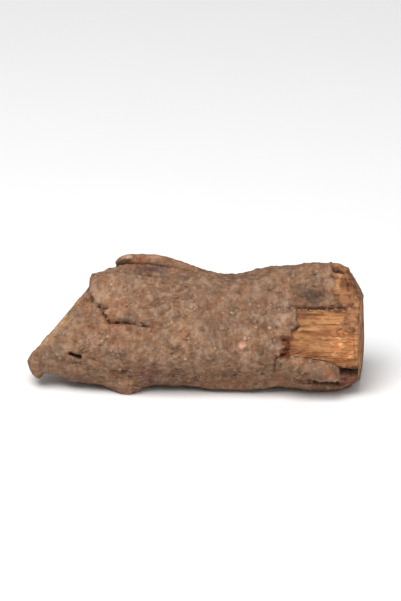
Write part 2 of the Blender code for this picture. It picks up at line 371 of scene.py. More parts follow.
class Layer(Enum):
    """What shows on the broad side, from the topmost down: its outline and how far it lies below the bark."""

    TONGUE = (
        (24, 12), (28.1, 12.5), (35, 11.3), (39.1, 10.2), (41.8, 9.2), (43.2, 8.1), (43.6, 7), (43, 5.9),
        (41.6, 5.2), (39, 5.3), (36.3, 5.8), (30, 6.2), (25, 7),
    ), 0.0
    BARE_WOOD = (
        (30.5, 27.1), (45.1, 27.2), (44.6, 25), (43, 23.4), (44.6, 21.4), (46, 20.6), (56, 20.9), (56, 7.6),
        (44, 8.7), (42.8, 8), (40, 7.8), (34, 8.6), (29.5, 9.6), (28.1, 11.4), (28.1, 17.3), (28.7, 19),
        (29.3, 20.9), (31.6, 22.7), (30, 24.2),
    ), 1.9
    SCAR = ((25.4, 18.8), (30, 18.6), (30, 11.3), (26, 11.3), (25.3, 14), (26.8, 16)), 1.0
    INNER_BARK = (
        (43.8, 28), (41.6, 29.6), (40.9, 33), (41.6, 35.2), (40.8, 38), (40.3, 48), (56, 48), (56, 19),
        (44, 19), (41, 22), (42, 26),
    ), 0.8
    LOW_BARK = (
        (42.2, 9.6), (56, 9.2), (56, -6), (49.5, -6), (46.5, 1), (43.6, 3.9), (42, 5), (42.6, 7),
    ), 0.7
    LEDGE = (
        (-38, 40), (-34, 35.5), (-32.6, 33.2), (-32, 31.2), (-31.1, 29.2), (-29.8, 27.9), (-27.1, 27.1),
        (-26.8, 26.5), (-28, 25.7), (-27.4, 24.3), (-25.8, 23.1), (-18.4, 22.8), (-17, 22.1), (-13.4, 22),
        (-4, 23), (4, 32), (4, 60), (-38, 60),
    ), 0.0

    @property
    def outline(self) -> Points:
        """The outline on the drawing plane."""
        return self.value[0]

    @property
    def sink(self) -> float:
        """How far it lies below the bark."""
        return self.value[1]


def off_line(start: Sequence[float], end: Sequence[float], places: Values) -> Values:
    """The way from the nearest point of a line to each place.

    Args:
        start: One end of the line.
        end: Its other end.
        places: Xs and heights on the drawing plane, one a row.

    Returns:
        Ways on the drawing plane, one a row.
    """
    start, run = np.array(start, float), np.array(end, float) - np.array(start, float)
    share = np.clip((places - start) @ run / (run @ run), 0, 1)
    return places - start - share[:, None] * run


@dataclass(frozen=True)
class Furrow:
    """A groove along a line on the drawing plane: from, to, half width and depth."""

    start: Pair
    end: Pair
    half_width: float
    depth: float

    def relief(self, places: Values) -> Values:
        """How far the surface is sunk, as a number below 0."""
        off = np.linalg.norm(off_line(self.start, self.end, places), axis=1)
        return -self.depth * (1 - smoothstep(0, self.half_width, off))


@dataclass(frozen=True)
class TornBark:
    """How the bark of the broad side tore: its steps, levels and furrows."""

    tear_depth: float = 0.6
    tear_length: float = 2.4
    step_half: float = 0.2
    clear_of_step: float = 0.3
    settle_reach: float = 1.8
    settle_power: float = 2.2
    tongue_rise: float = 2.3
    tongue_start: Pair = (22, 30)
    tongue_rounding: float = 2.6
    ledge_rise: float = 1.25
    ledge_fade: Pair = (-15, 1)
    crest_band: Pair = (34, 41)
    crest_shorter: float = 0.7
    broad_from: Pair = (60, 76)
    broad_to: Pair = (242, 256)
    furrows: tuple[Furrow, ...] = (
        Furrow((-24.3, 22.9), (-17.6, 22.4), 0.9, 1.0),
        Furrow((29.5, 27.4), (45.2, 27.5), 0.9, 0.9),
        Furrow((43.6, 8.2), (51, 7.6), 1.0, 1.6),
        Furrow((34, 5.2), (43, 3.8), 0.9, 0.8),
        Furrow((-37.7, 12.8), (-35, 11.7), 0.9, 1.7),
    )

    def share(self, angle: Values) -> Values:
        """1 on the broad side, and 0 all round the rest."""
        return smoothstep(*self.broad_from, angle) * (1 - smoothstep(*self.broad_to, angle))

    def torn(self, places: Values) -> Values:
        """How far the tear strays from the drawn outline, in shorter waves at the crest.

        Args:
            places: Xs and heights on the drawing plane, one a row.

        Returns:
            How far outwards, in millimetres.
        """
        spots = spaced(*places.T, 7.0)
        spots[:, 1] *= 1 + self.crest_shorter * smoothstep(*self.crest_band, places[:, 1])
        return self.tear_depth * waves(spots, self.tear_length)

    def levels(self, places: Values) -> dict[Layer, Values]:
        """How far places lie inside each torn outline, whatever covers it."""
        torn = self.torn(places)
        return {layer: self.inside(layer, places, torn)[0] for layer in Layer}

    def inside(self, layer: Layer, places: Values, torn: Values) -> tuple[Values, Values]:
        """How far places lie inside a torn outline, below 0 outside it, and the way from out to in.

        Args:
            layer: Whose outline.
            places: Xs and heights on the drawing plane, one a row.
            torn: How far the tear strays there.

        Returns:
            How far inside, and the ways, one long.
        """
        nearest = np.full((len(places), 2), 1e9)
        odd = np.zeros(len(places), bool)
        x, height = places.T
        corners = layer.outline
        for (xa, ha), (xb, hb) in zip(corners, corners[1:] + corners[:1]):
            off = off_line((xa, ha), (xb, hb), places)
            closer = (off**2).sum(1) < (nearest**2).sum(1)
            nearest[closer] = off[closer]
            if ha != hb:
                odd ^= ((ha > height) != (hb > height)) & (x < xa + (xb - xa) * (height - ha) / (hb - ha))
        side = np.where(odd, 1, -1)
        return side * np.linalg.norm(nearest, axis=1) + torn, side[:, None] * unit(nearest)

    def settle(self, x: Values, angle: Values) -> tuple[Values, Values]:
        """Places moved clear of the torn outline that runs close by, so that its step is sharp.

        Args:
            x: How far along the root, in millimetres.
            angle: The angle round it, in degrees.

        Returns:
            The moved Xs and angles.
        """
        places = DRAWING.seen(DRAWING.skin(x, angle))
        torn = self.torn(places)
        nearest, inward = np.full(len(x), 1e9), np.zeros((len(x), 2))
        covered = np.zeros(len(x), bool)
        for layer in Layer:
            found, way = self.inside(layer, places, torn)
            closer = (np.abs(found) < np.abs(nearest)) & ~covered
            nearest[closer], inward[closer] = found[closer], way[closer]
            covered |= found > 0
        off = np.minimum(self.settle_reach, np.abs(nearest))
        span = self.settle_reach - self.clear_of_step
        settled = self.clear_of_step + span * (off / self.settle_reach) ** self.settle_power
        move = inward * (np.copysign(settled - off, nearest) * self.share(angle))[:, None]
        per_degree = (DRAWING.height(x, angle + 1) - DRAWING.height(x, angle - 1)) / 2
        return x + move[:, 0], angle + move[:, 1] / np.minimum(-0.15, per_degree)

    def fields(self, x: Values, angle: Values) -> dict[Layer, Values]:
        """How far places lie inside what shows of each layer, below 0 outside it.

        Args:
            x: How far along the root, in millimetres.
            angle: The angle round it, in degrees.

        Returns:
            How far inside, in millimetres, for each layer.
        """
        shown, cover = {}, np.full(len(x), -1e9)
        for layer, found in self.levels(DRAWING.seen(DRAWING.skin(x, angle))).items():
            shown[layer] = np.minimum(found, -cover)
            cover = np.maximum(cover, found)
        return shown

    def relief(self, x: Values, angle: Values) -> Values:
        """How far the levels and furrows stand out.

        Args:
            x: How far along the root, in millimetres.
            angle: The angle round it, in degrees.

        Returns:
            How far out, in millimetres.
        """
        places = DRAWING.seen(DRAWING.skin(x, angle))
        inside = self.levels(places)
        within = {layer: smoothstep(-self.step_half, self.step_half, inside[layer]) for layer in Layer}
        relief = np.zeros(len(x))
        for layer in (Layer.LOW_BARK, Layer.INNER_BARK, Layer.SCAR, Layer.BARE_WOOD):
            relief += (-layer.sink - relief) * within[layer]
        rounding = np.sqrt(smoothstep(-self.step_half, self.tongue_rounding, inside[Layer.TONGUE]))
        rise = self.tongue_rise * rounding * smoothstep(*self.tongue_start, x)
        relief += (rise - relief) * within[Layer.TONGUE]
        for furrow in self.furrows:
            relief += furrow.relief(places)
        return relief

    def ledge(self, x: Values, spots: Values) -> Values:
        """How far the thicker bark at the top of the chop stands out.

        Args:
            x: How far along the root, in millimetres.
            spots: The same places on the smooth form.

        Returns:
            How far out, in millimetres.
        """
        places = DRAWING.seen(spots)
        inside = self.inside(Layer.LEDGE, places, self.torn(places))[0]
        fading = 1 - smoothstep(*self.ledge_fade, x)
        return self.ledge_rise * smoothstep(-self.step_half, self.step_half, inside) * fading


TORN = TornBark()


@dataclass(frozen=True)
class Swelling:
    """A rounded lump: how far along, facing which angle, half length, half width and height."""

    at: float
    facing: float
    half_length: float
    half_width: float
    height: float


@dataclass(frozen=True)
class Growth:
    """What grew all round the root: swellings, the crest's ridge and hollow, the cleft, and flutes."""

    per_degree: float = math.radians(1) * 17
    swellings: tuple[Swelling, ...] = (
        Swelling(-20.5, 234, 8.5, 8, 3.4),
        Swelling(-47.5, 200, 5, 7, 0.8),
        Swelling(8, 28, 9, 7, 2.2),
        Swelling(-30, 330, 9, 6, 1.6),
        Swelling(36, 330, 9, 8, 1.4),
        Swelling(-5, 298, 12, 9, 1.9),
        Swelling(-26, 72, 2.6, 4, 0.8),
    )
    ridge_angle: float = 65
    ridge_half_width: float = 2.8
    ridge_height: Line = Line(((-25, 0), (-22.5, 1.6), (-19, 2.3), (-12, 2.2), (-4, 1.2), (6, 0)))
    hollow_angle: float = 83
    hollow_half_width: float = 3.3
    hollow_depth: Line = Line((
        (-25, 0), (-22.5, 0.7), (-18.5, 1.6), (-14, 2.4), (-10.5, 1.7), (-6.5, 0.5), (-2, 0),
    ))
    cleft_angle: Line = Line(((-50, 352), (-20, 346), (10, 340), (52, 352)))
    cleft_depth: Line = Line(((-48, 0), (-34, 2), (-5, 2.4), (18, 1.2), (30, 0)))
    cleft_half_width: float = 3.6
    unevenness: Points = ((17, 0.9), (7.5, 0.45))
    flute_size: Three = (19, 3.6, 3.6)
    flute_depth: float = 0.4

    def aside(self, angle: Values, facing: Number) -> Values:
        """How far round the root an angle lies from another, in millimetres."""
        return turned(angle, facing) * self.per_degree

    def relief(self, x: Values, angle: Values, spots: Values) -> tuple[Values, Values]:
        """How far it all stands out, and the flutes apart, which the bare wood hasn't.

        Args:
            x: How far along the root, in millimetres.
            angle: The angle round it, in degrees.
            spots: The same places on the smooth form.

        Returns:
            How far out all but the flutes is, and the flutes.
        """
        relief = TORN.ledge(x, spots)
        for lump in self.swellings:
            off = np.hypot((x - lump.at) / lump.half_length, self.aside(angle, lump.facing) / lump.half_width)
            relief += lump.height * (1 - smoothstep(0, 1, off))
        aside = self.aside(angle, self.ridge_angle) / self.ridge_half_width
        relief += self.ridge_height.at(x) * np.sqrt(np.maximum(0, 1 - aside**2))
        aside = np.abs(self.aside(angle, self.hollow_angle))
        relief -= self.hollow_depth.at(x) * (1 - smoothstep(0, self.hollow_half_width, aside))
        aside = np.abs(self.aside(angle, self.cleft_angle.at(x)))
        relief -= self.cleft_depth.at(x) * (1 - smoothstep(0, self.cleft_half_width, aside))
        relief += sum(height * waves(spots, size) for size, height in self.unevenness)
        return relief, self.flute_depth * waves(spots, self.flute_size)


GROWTH = Growth()


@dataclass(frozen=True)
class BarkGrain:
    """The fine relief of the outer bark: scales that peel, fissures, wrinkles and grains, in millimetres."""

    scale_size: Three = (13, 7, 7)
    scale_step: float = 0.18
    fissure_size: Three = (8, 1.5, 1.5)
    fissure_depth: float = 0.3
    wrinkle_size: Three = (1.9, 6, 6)
    wrinkle_depth: float = 0.24
    grain_size: Three = (1.7, 1.25, 1.25)
    grain_height: float = 0.3
    wrinkled_at: float = 2
    wrinkled_reach: float = 26
    grainy_from: Pair = (-44, -26)

    def relief(self, spots: Values) -> tuple[Values, Values]:
        """How far the bark's own surface stands out, and how much of that its colour shows.

        Args:
            spots: Places in millimetres, one a row.

        Returns:
            The relief, and the part of it that colour shows.
        """
        raggedness = waves(spots, 1.3, 5)
        level = 2.4 * rough_waves(spots, self.scale_size, 3, 1) + 0.3 * raggedness
        scales = np.floor(level) + smoothstep(0.0, 0.2, level % 1) - 0.5 * (level % 1)
        line = np.abs(waves(spots, self.fissure_size, 2) + 0.12 * raggedness)
        where = smoothstep(-0.1, 0.35, waves(spots, 9, 3))
        fine = -self.fissure_depth * (1 - smoothstep(0, 0.14, line)) * where
        line = np.abs(waves(spots, self.wrinkle_size, 4) + 0.1 * raggedness)
        wrinkled = np.exp(-(((spots[:, 0] - self.wrinkled_at) / self.wrinkled_reach) ** 2))
        where = smoothstep(0, 0.35, waves(spots, 11, 6)) * wrinkled
        fine -= self.wrinkle_depth * (1 - smoothstep(0, 0.2, line)) * where
        coarse = smoothstep(-0.5, 0.4, waves(spots, 6, 7)) * smoothstep(*self.grainy_from, spots[:, 0])
        stirred = spots + 0.35 * waves(spots, 1.6, 9)[:, None]
        fine += self.grain_height * (0.4 + 0.6 * coarse) * (grains(stirred, self.grain_size) - 0.6)
        fine += 0.07 * waves(spots, 0.85, 8) + 0.16 * waves(spots, 3.1, 10)
        return fine + self.scale_step * scales, fine


@dataclass(frozen=True)
class BareGrain:
    """The fine relief of wood and bast, which runs along the root."""

    def relief(self, spots: Values) -> Values:
        """How far the fibres stand out.

        Args:
            spots: Places in millimetres, one a row.

        Returns:
            How far out, in millimetres.
        """
        fibres = 0.14 * waves(spots, (12, 1.1, 1.1), 11) + 0.1 * waves(spots, (7, 0.7, 0.7), 12)
        line = np.abs(waves(spots, (18, 1.8, 1.8), 13))
        return fibres - 0.24 * (1 - smoothstep(0, 0.1, line)) + 0.1 * waves(spots, 1.2, 14)


@dataclass(frozen=True)
class FineFurrow(Furrow):
    """A narrow crack or hole that the bark shows."""

    def relief(self, places: Values) -> Values:
        """How far the bark is sunk, with an edge that wanders.

        Args:
            places: Xs and heights on the drawing plane, one a row.

        Returns:
            Millimetres, as a number below 0.
        """
        spots = spaced(*places.T)
        off = np.linalg.norm(off_line(self.start, self.end, places), axis=1) + 0.3 * waves(spots, 1.1, 21)
        uneven = 1 + 0.4 * waves(spots, 0.8, 22)
        return -self.depth * uneven * (1 - smoothstep(0.0, self.half_width, off))


FINE_FURROWS = (
    FineFurrow((-32.3, 32.2), (-31.3, 29.5), 0.7, 0.7),
    FineFurrow((-31.6, 30.4), (-31.1, 29.3), 1.2, 1.1),
    FineFurrow((-30.6, 28.6), (-28.4, 27.3), 0.65, 0.6),
    FineFurrow((-29.2, 27.6), (-26.9, 27.0), 1.0, 1.2),
    FineFurrow((-27.9, 25.3), (-26.5, 23.7), 0.95, 1.25),
    FineFurrow((-25.9, 22.8), (-18.5, 22.6), 0.75, 1.45),
    FineFurrow((-17, 22), (-13.8, 21.8), 0.65, 1.0),
    FineFurrow((-37.8, 13.1), (-35.3, 12.1), 0.8, 1.6),
    FineFurrow((-36.9, 12.5), (-34.9, 11.8), 0.95, 2.0),
    FineFurrow((-36.8, 10.2), (-35, 10), 0.55, 0.9),
    FineFurrow((-28.7, 15.8), (-28.4, 15.6), 0.55, 0.8),
    FineFurrow((30.2, 27.5), (44.6, 27.7), 0.7, 1.2),
    FineFurrow((29.1, 20.8), (31.4, 22.5), 0.7, 1.2),
    FineFurrow((26.4, 17.9), (28.2, 17.6), 0.7, 0.9),
    FineFurrow((23.9, 18.6), (24.8, 18.3), 0.5, 0.6),
    FineFurrow((24.2, 12.5), (27, 13.4), 0.7, 1.0),
    FineFurrow((24.2, 12.8), (23.7, 8.5), 0.55, 0.7),
    FineFurrow((30.8, 5.7), (31.9, 5.3), 0.5, 0.7),
    FineFurrow((35.6, 4.8), (43, 4.1), 0.9, 1.8),
    FineFurrow((30, 6.1), (36, 5.2), 0.6, 0.6),
    FineFurrow((43.8, 8.2), (48.8, 7.7), 1.45, 2.8),
    FineFurrow((-7.5, 20.1), (3.6, 20.3), 0.5, 0.3),
    FineFurrow((4.8, 18.3), (12, 18.5), 0.5, 0.3),
    FineFurrow((41.4, 39.2), (44, 38.7), 0.9, 1.7),
    FineFurrow((40.3, 37.4), (41.2, 37.1), 0.7, 0.8),
    FineFurrow((-15.2, 39.2), (-12.6, 39), 0.9, 0.7),
    FineFurrow((-16.9, 37.5), (-14, 37.3), 1.0, 0.9),
    FineFurrow((32.2, 30.4), (36.2, 31.2), 2.4, 0.35),
)


@dataclass(frozen=True)
class Knot:
    """A healed knot: a raised ring round a dimple."""

    at: Pair
    radius: float
    height: float

    def relief(self, places: Values) -> Values:
        """How far the bark stands out.

        Args:
            places: Xs and heights on the drawing plane, one a row.

        Returns:
            How far out, in millimetres.
        """
        spots = spaced(*places.T)
        off = np.linalg.norm(places - np.array(self.at), axis=1) * (1 + 0.2 * waves(spots, 2, 23))
        ring = np.exp(-(((off - self.radius) / (0.35 * self.radius)) ** 2))
        return self.height * (ring - 0.7 * np.exp(-((off / (0.5 * self.radius)) ** 2)))


KNOTS = (Knot((-35.3, 22.3), 1.3, 0.36), Knot((-36.6, 16.6), 2.2, 0.2), Knot((-41, 14.3), 1.5, 0.16))


@dataclass(frozen=True)
class Skin:
    """The finished skin at some places: points, fine relief, cracks' depth, and how far inside each layer."""

    points: Values
    fine: Values
    cracks: Values
    inside: dict[Layer, Values]


@dataclass(frozen=True)
class Surface:
    """The finished surface of the root, and what shows at each of its places."""

    bark: BarkGrain = BarkGrain()
    bare: BareGrain = BareGrain()
    scar_size: Three = (2.4, 1.3, 1.3)
    scar_height: float = 0.6
    inner_size: Three = (2.8, 1.9, 1.9)
    inner_height: float = 0.45

    def at(self, x: Values, angle: Values) -> Skin:
        """The skin at places all round the root.

        Args:
            x: How far along the root, in millimetres.
            angle: The angle round it, in degrees.

        Returns:
            The skin there.
        """
        broad = TORN.share(angle)
        x, angle = TORN.settle(x, angle)
        spots, facing = DRAWING.skin(x, angle), DRAWING.facing(x, angle)
        relief, flutes = GROWTH.relief(x, angle, spots)
        relief += broad * TORN.relief(x, angle)
        shown = TORN.fields(x, angle)
        for layer in shown:
            shown[layer] = np.where(broad > 0.02, shown[layer], OUTSIDE)
        bare = smoothstep(-0.2, 0.2, np.maximum.reduce([shown[k] for k in BARE_LAYERS]))
        wood = smoothstep(-0.2, 0.2, shown[Layer.BARE_WOOD])
        relief += flutes * (1 - wood)
        scarred = smoothstep(-0.2, 0.5, shown[Layer.SCAR])
        relief += scarred * self.scar_height * waves(spots, self.scar_size, 15)
        inner = smoothstep(-0.2, 0.5, shown[Layer.INNER_BARK])
        relief += inner * self.inner_height * waves(spots, self.inner_size, 16)
        rough, seen = self.bark.relief(spots)
        fibres = self.bare.relief(spots)
        seen = seen + bare * (fibres - seen)
        shaped = spots + facing * relief[:, None]
        places = DRAWING.seen(shaped)
        cracks = broad * np.minimum.reduce([furrow.relief(places) for furrow in FINE_FURROWS])
        knots = broad * sum(knot.relief(places) for knot in KNOTS)
        fine = rough + bare * (fibres - rough) + cracks + knots
        seen = seen + knots
        return Skin(shaped + facing * fine[:, None], seen, -cracks, shown)


BARE_LAYERS = (Layer.BARE_WOOD, Layer.SCAR, Layer.INNER_BARK, Layer.LOW_BARK)
SURFACE = Surface()


class Graph:
    """Lays and links the nodes of one material, with lengths in millimetres."""

    def __init__(self, name: str) -> None:
        """Starts a material with nothing but its shader.

        Args:
            name: The material's name.
        """
        self.material = bpy.data.materials.new(name)
        self.material.use_nodes = True
        self.nodes = self.material.node_tree.nodes
        self.links = self.material.node_tree.links
        self.shader = self.nodes["Principled BSDF"]
        self.place = self.nodes.new("ShaderNodeTexCoord").outputs["Object"]

    def feed(self, socket: Socket, value: object) -> None:
        """Links a socket to another, or sets its value.

        Args:
            socket: The socket.
            value: Another socket, or a value.
        """
        if isinstance(value, bpy.types.NodeSocket):
            self.links.new(value, socket)
        elif isinstance(value, tuple) and len(value) == 3 and socket.type == "RGBA":
            socket.default_value = (*value, 1)
        else:
            socket.default_value = value

    def mapped(self, size: Size, seed: float) -> Socket:
        """Object coordinates in units of a size.

        Args:
            size: A unit's length, or one for each axis.
            seed: How far to shift them.

        Returns:
            The coordinates.
        """
        lengths = (size,) * 3 if isinstance(size, (int, float)) else size
        mapping = self.nodes.new("ShaderNodeMapping")
        self.feed(mapping.inputs["Vector"], self.place)
        self.feed(mapping.inputs["Scale"], tuple(1 / (MM * length) for length in lengths))
        self.feed(mapping.inputs["Location"], (seed * 3.1, seed * 5.7, seed * 1.3))
        return mapping.outputs["Vector"]

    def noise(self, size: Size, seed: float = 0, detail: float = 3, distortion: float = 0) -> Socket:
        """Noise from 0 to 1, with waves of a size.

        Args:
            size: The length of a wave, or one for each axis.
            seed: Where in the noise to start.
            detail: How many finer waves it has.
            distortion: How far it is stirred.

        Returns:
            The noise.
        """
        node = self.nodes.new("ShaderNodeTexNoise")
        self.feed(node.inputs["Vector"], self.mapped(size, seed))
        self.feed(node.inputs["Scale"], 1.0)
        self.feed(node.inputs["Detail"], float(detail))
        self.feed(node.inputs["Distortion"], float(distortion))
        return node.outputs["Fac"]

    def cells(self, size: Size, seed: float = 0) -> tuple[Socket, Socket]:
        """The distance to the nearest cell's middle, and a number of that cell's own.

        Args:
            size: How large a cell is, or one for each axis.
            seed: Where in the pattern to start.

        Returns:
            The distance, in cells, and the number, from 0 to 1.
        """
        node = self.nodes.new("ShaderNodeTexVoronoi")
        self.feed(node.inputs["Vector"], self.mapped(size, seed))
        self.feed(node.inputs["Scale"], 1.0)
        split = self.nodes.new("ShaderNodeSeparateColor")
        self.feed(split.inputs["Color"], node.outputs["Color"])
        return node.outputs["Distance"], split.outputs["Red"]

    def attribute(self, name: str, colour: bool = False) -> Socket:
        """A value or a colour that the mesh holds.

        Args:
            name: Its name in the mesh.
            colour: Whether it is a colour.

        Returns:
            What it holds.
        """
        node = self.nodes.new("ShaderNodeAttribute")
        node.attribute_name = name
        return node.outputs["Color" if colour else "Fac"]

    def maths(self, operation: str, *values: object) -> Socket:
        """One step of arithmetic.

        Args:
            operation: The step.
            *values: What it takes.

        Returns:
            The result.
        """
        node = self.nodes.new("ShaderNodeMath")
        node.operation = operation
        for socket, value in zip(node.inputs, values):
            self.feed(socket, value)
        return node.outputs["Value"]

    def spread(self, value: Socket, low: float, high: float, to_low: float = 0, to_high: float = 1) -> Socket:
        """A value's range from low to high, spread over another and kept in it.

        Args:
            value: The value.
            low: The start of its range.
            high: The end of its range.
            to_low: What the start becomes.
            to_high: What the end becomes.

        Returns:
            The spread value.
        """
        node = self.nodes.new("ShaderNodeMapRange")
        node.interpolation_type = "SMOOTHSTEP"
        for name, number in (("From Min", low), ("From Max", high), ("To Min", to_low), ("To Max", to_high)):
            self.feed(node.inputs[name], number)
        self.feed(node.inputs["Value"], value)
        return node.outputs["Result"]

    def mix(self, share: object, first: object, second: object, blend: str = "MIX") -> Socket:
        """Two colours mixed, by a share of the second.

        Args:
            share: The share.
            first: The first colour.
            second: The second colour.
            blend: How they are mixed.

        Returns:
            The mixed colour.
        """
        node = self.nodes.new("ShaderNodeMix")
        node.data_type = "RGBA"
        node.blend_type = blend
        self.feed(node.inputs[0], share)
        self.feed(node.inputs[6], first)
        self.feed(node.inputs[7], second)
        return node.outputs[2]

    def over(
        self, colour: object, other: object, value: Socket, low: float, high: float, most: float = 1
    ) -> Socket:
        """A colour with another laid over it as a value goes from low to high.

        Args:
            colour: The colour underneath.
            other: The colour laid over it.
            value: What it goes by.
            low: Where the other colour begins to show.
            high: Where it shows most.
            most: Its share there.

        Returns:
            The mixed colour.
        """
        return self.mix(self.spread(value, low, high, 0, most), colour, other)

    def tinted(self, colour: Socket) -> Socket:
        """A colour times the tint that the mesh holds."""
        return self.mix(1.0, colour, self.attribute("tint", True), "MULTIPLY")

    def blend(self, share: object, first: object, second: object) -> Socket:
        """Two numbers mixed, by a share of the second.

        Args:
            share: The share.
            first: The first number.
            second: The second number.

        Returns:
            The mixed number.
        """
        node = self.nodes.new("ShaderNodeMix")
        self.feed(node.inputs[0], share)
        self.feed(node.inputs[2], first)
        self.feed(node.inputs[3], second)
        return node.outputs[0]

    def finish(self, colour: object, roughness: object, height: Socket, depth: float) -> bpy.types.Material:
        """Feeds the shader.

        Args:
            colour: The surface's colour.
            roughness: Its roughness.
            height: The fine relief, from 0 to 1.
            depth: How deep that relief is, in millimetres.

        Returns:
            The material.
        """
        bump = self.nodes.new("ShaderNodeBump")
        self.feed(bump.inputs["Height"], height)
        self.feed(bump.inputs["Distance"], depth * MM)
        self.feed(bump.inputs["Strength"], 1.0)
        self.feed(self.shader.inputs["Normal"], bump.outputs["Normal"])
        self.feed(self.shader.inputs["Base Color"], colour)
        self.feed(self.shader.inputs["Roughness"], roughness)
        self.shader.inputs["Specular IOR Level"].default_value = 0.2
        return self.material


Coat = tuple[Socket, object, Socket]


class Finish(Protocol):
    """What a surface looks like."""

    def coat(self, graph: Graph) -> Coat:
        """Colour, roughness and fine relief."""


@dataclass(frozen=True)
class OuterBark:
    """Grey-brown bark, mottled and grainy, with painted shade in its hollows and paler where its fine relief
    stands out.
    """

    base: Colour = (0.207, 0.110, 0.061)
    ruddy: Colour = (0.226, 0.106, 0.055)
    greyed: Colour = (0.174, 0.110, 0.073)
    pale: Colour = (0.385, 0.252, 0.172)
    dark: Colour = (0.072, 0.032, 0.017)
    speck: Colour = (0.430, 0.290, 0.200)

    def coat(self, graph: Graph) -> Coat:
        """Colour, roughness and fine relief.

        Args:
            graph: The material to lay nodes in.

        Returns:
            The colour, the roughness and the fine relief.
        """
        colour = graph.over(self.base, self.ruddy, graph.noise(8, 1), 0.42, 0.62)
        colour = graph.over(colour, self.greyed, graph.noise((5, 4, 4), 2), 0.46, 0.66, 0.8)
        colour = graph.over(colour, self.pale, graph.noise((4.4, 3.6, 3.6), 3), 0.5, 0.68, 0.42)
        colour = graph.over(colour, self.dark, graph.noise((4.4, 3.6, 3.6), 4), 0.5, 0.32, 0.44)
        blotch = graph.noise((1.6, 2.1, 2.1), 5, 2, 0.4)
        colour = graph.over(colour, self.pale, blotch, 0.52, 0.68, 0.4)
        colour = graph.over(colour, self.dark, blotch, 0.47, 0.3, 0.33)
        grain = graph.noise((0.9, 0.8, 0.8), 8, 1)
        colour = graph.over(colour, self.pale, grain, 0.5, 0.75, 0.26)
        colour = graph.over(colour, self.dark, grain, 0.48, 0.25, 0.24)
        # Painted shade: darker where the fine relief sinks; paler where it stands out.
        hollow = graph.attribute("fine")
        colour = graph.over(colour, self.dark, hollow, -0.08, -0.5, 0.55)
        colour = graph.over(colour, self.pale, hollow, -0.02, 0.25, 0.3)
        distance, chosen = graph.cells(2.6, 6)
        near = graph.spread(distance, 0.19, 0.1)
        specks = graph.maths("MULTIPLY", near, graph.spread(chosen, 0.78, 0.8, 0, 0.6))
        colour = graph.mix(specks, colour, self.speck)
        return colour, 0.9, graph.noise(0.45, 7, 4)


@dataclass(frozen=True)
class Bast:
    """Bark with its outer layer broken off: streaked along the root, with painted shade in its hollows."""

    light: Colour
    deep: Colour
    stain_and_shade: Colour
    fresh: Colour
    seed: float

    def coat(self, graph: Graph) -> Coat:
        """Colour, roughness and fine relief.

        Args:
            graph: The material to lay nodes in.

        Returns:
            The colour, the roughness and the fine relief.
        """
        streaks = graph.noise((9, 0.7, 0.7), self.seed, 4)
        colour = graph.over(self.deep, self.light, streaks, 0.35, 0.65)
        stained = graph.noise(2.2, self.seed + 1, 4, 0.5)
        colour = graph.over(colour, self.stain_and_shade, stained, 0.47, 0.65, 0.8)
        colour = graph.over(colour, self.fresh, graph.noise(1.5, self.seed + 3, 4), 0.48, 0.7, 0.6)
        # Painted shade: the stain colour also darkens the hollows of the fine relief.
        colour = graph.over(colour, self.stain_and_shade, graph.attribute("fine"), 0.0, -0.35, 0.8)
        return colour, 0.85, graph.noise((3, 0.35, 0.35), self.seed + 2, 3)


@dataclass(frozen=True)
class Wood:
    """Bare wood: orange-tan, with grain lines along the root, and painted shade in its hollows."""

    light: Colour = (0.470, 0.202, 0.074)
    mid: Colour = (0.305, 0.117, 0.043)
    deep: Colour = (0.112, 0.038, 0.015)
    yellow: Colour = (0.525, 0.254, 0.098)
    cream: Colour = (0.610, 0.335, 0.168)
    russet: Colour = (0.230, 0.080, 0.030)

    def coat(self, graph: Graph) -> Coat:
        """Colour, roughness and fine relief.

        Args:
            graph: The material to lay nodes in.

        Returns:
            The colour, the roughness and the fine relief.
        """
        grain = graph.noise((13, 0.5, 0.5), 30, 4, 0.3)
        broad = graph.noise((16, 2.2, 2.2), 31, 2)
        colour = graph.over(self.mid, self.light, grain, 0.42, 0.66)
        colour = graph.over(colour, self.deep, grain, 0.49, 0.3, 0.75)
        colour = graph.over(colour, self.yellow, broad, 0.5, 0.68, 0.7)
        colour = graph.over(colour, self.deep, broad, 0.49, 0.33, 0.7)
        colour = graph.over(colour, self.yellow, graph.noise((2.4, 0.6, 0.6), 33, 2), 0.52, 0.68, 0.5)
        patch = graph.noise((2.6, 1.5, 1.5), 34, 3, 0.4)
        colour = graph.over(colour, self.cream, patch, 0.53, 0.7, 0.6)
        colour = graph.over(colour, self.russet, patch, 0.46, 0.3, 0.6)
        # Painted shade: darker where the fine relief sinks.
        colour = graph.over(colour, self.deep, graph.attribute("fine"), -0.05, -0.45, 0.62)
        return colour, 0.72, graph.noise((5, 0.22, 0.22), 32, 3)


def rim_bark(graph: Graph, width: float, far: float, near: float, seed: float, stray: float) -> Socket:
    """Where the bark shows round a cut face.

    Args:
        graph: The material.
        width: How wide the bark is, in millimetres.
        far: How much farther in its last trace shows.
        near: How much farther in it shows fully.
        seed: Where in the noise to start.
        stray: How far its inner edge strays.

    Returns:
        Its share.
    """
    inwards = graph.attribute("cut_in")
    inwards = graph.maths("ADD", inwards, graph.maths("MULTIPLY", graph.noise(1.6, seed), stray))
    return graph.spread(inwards, width + far, width + near)


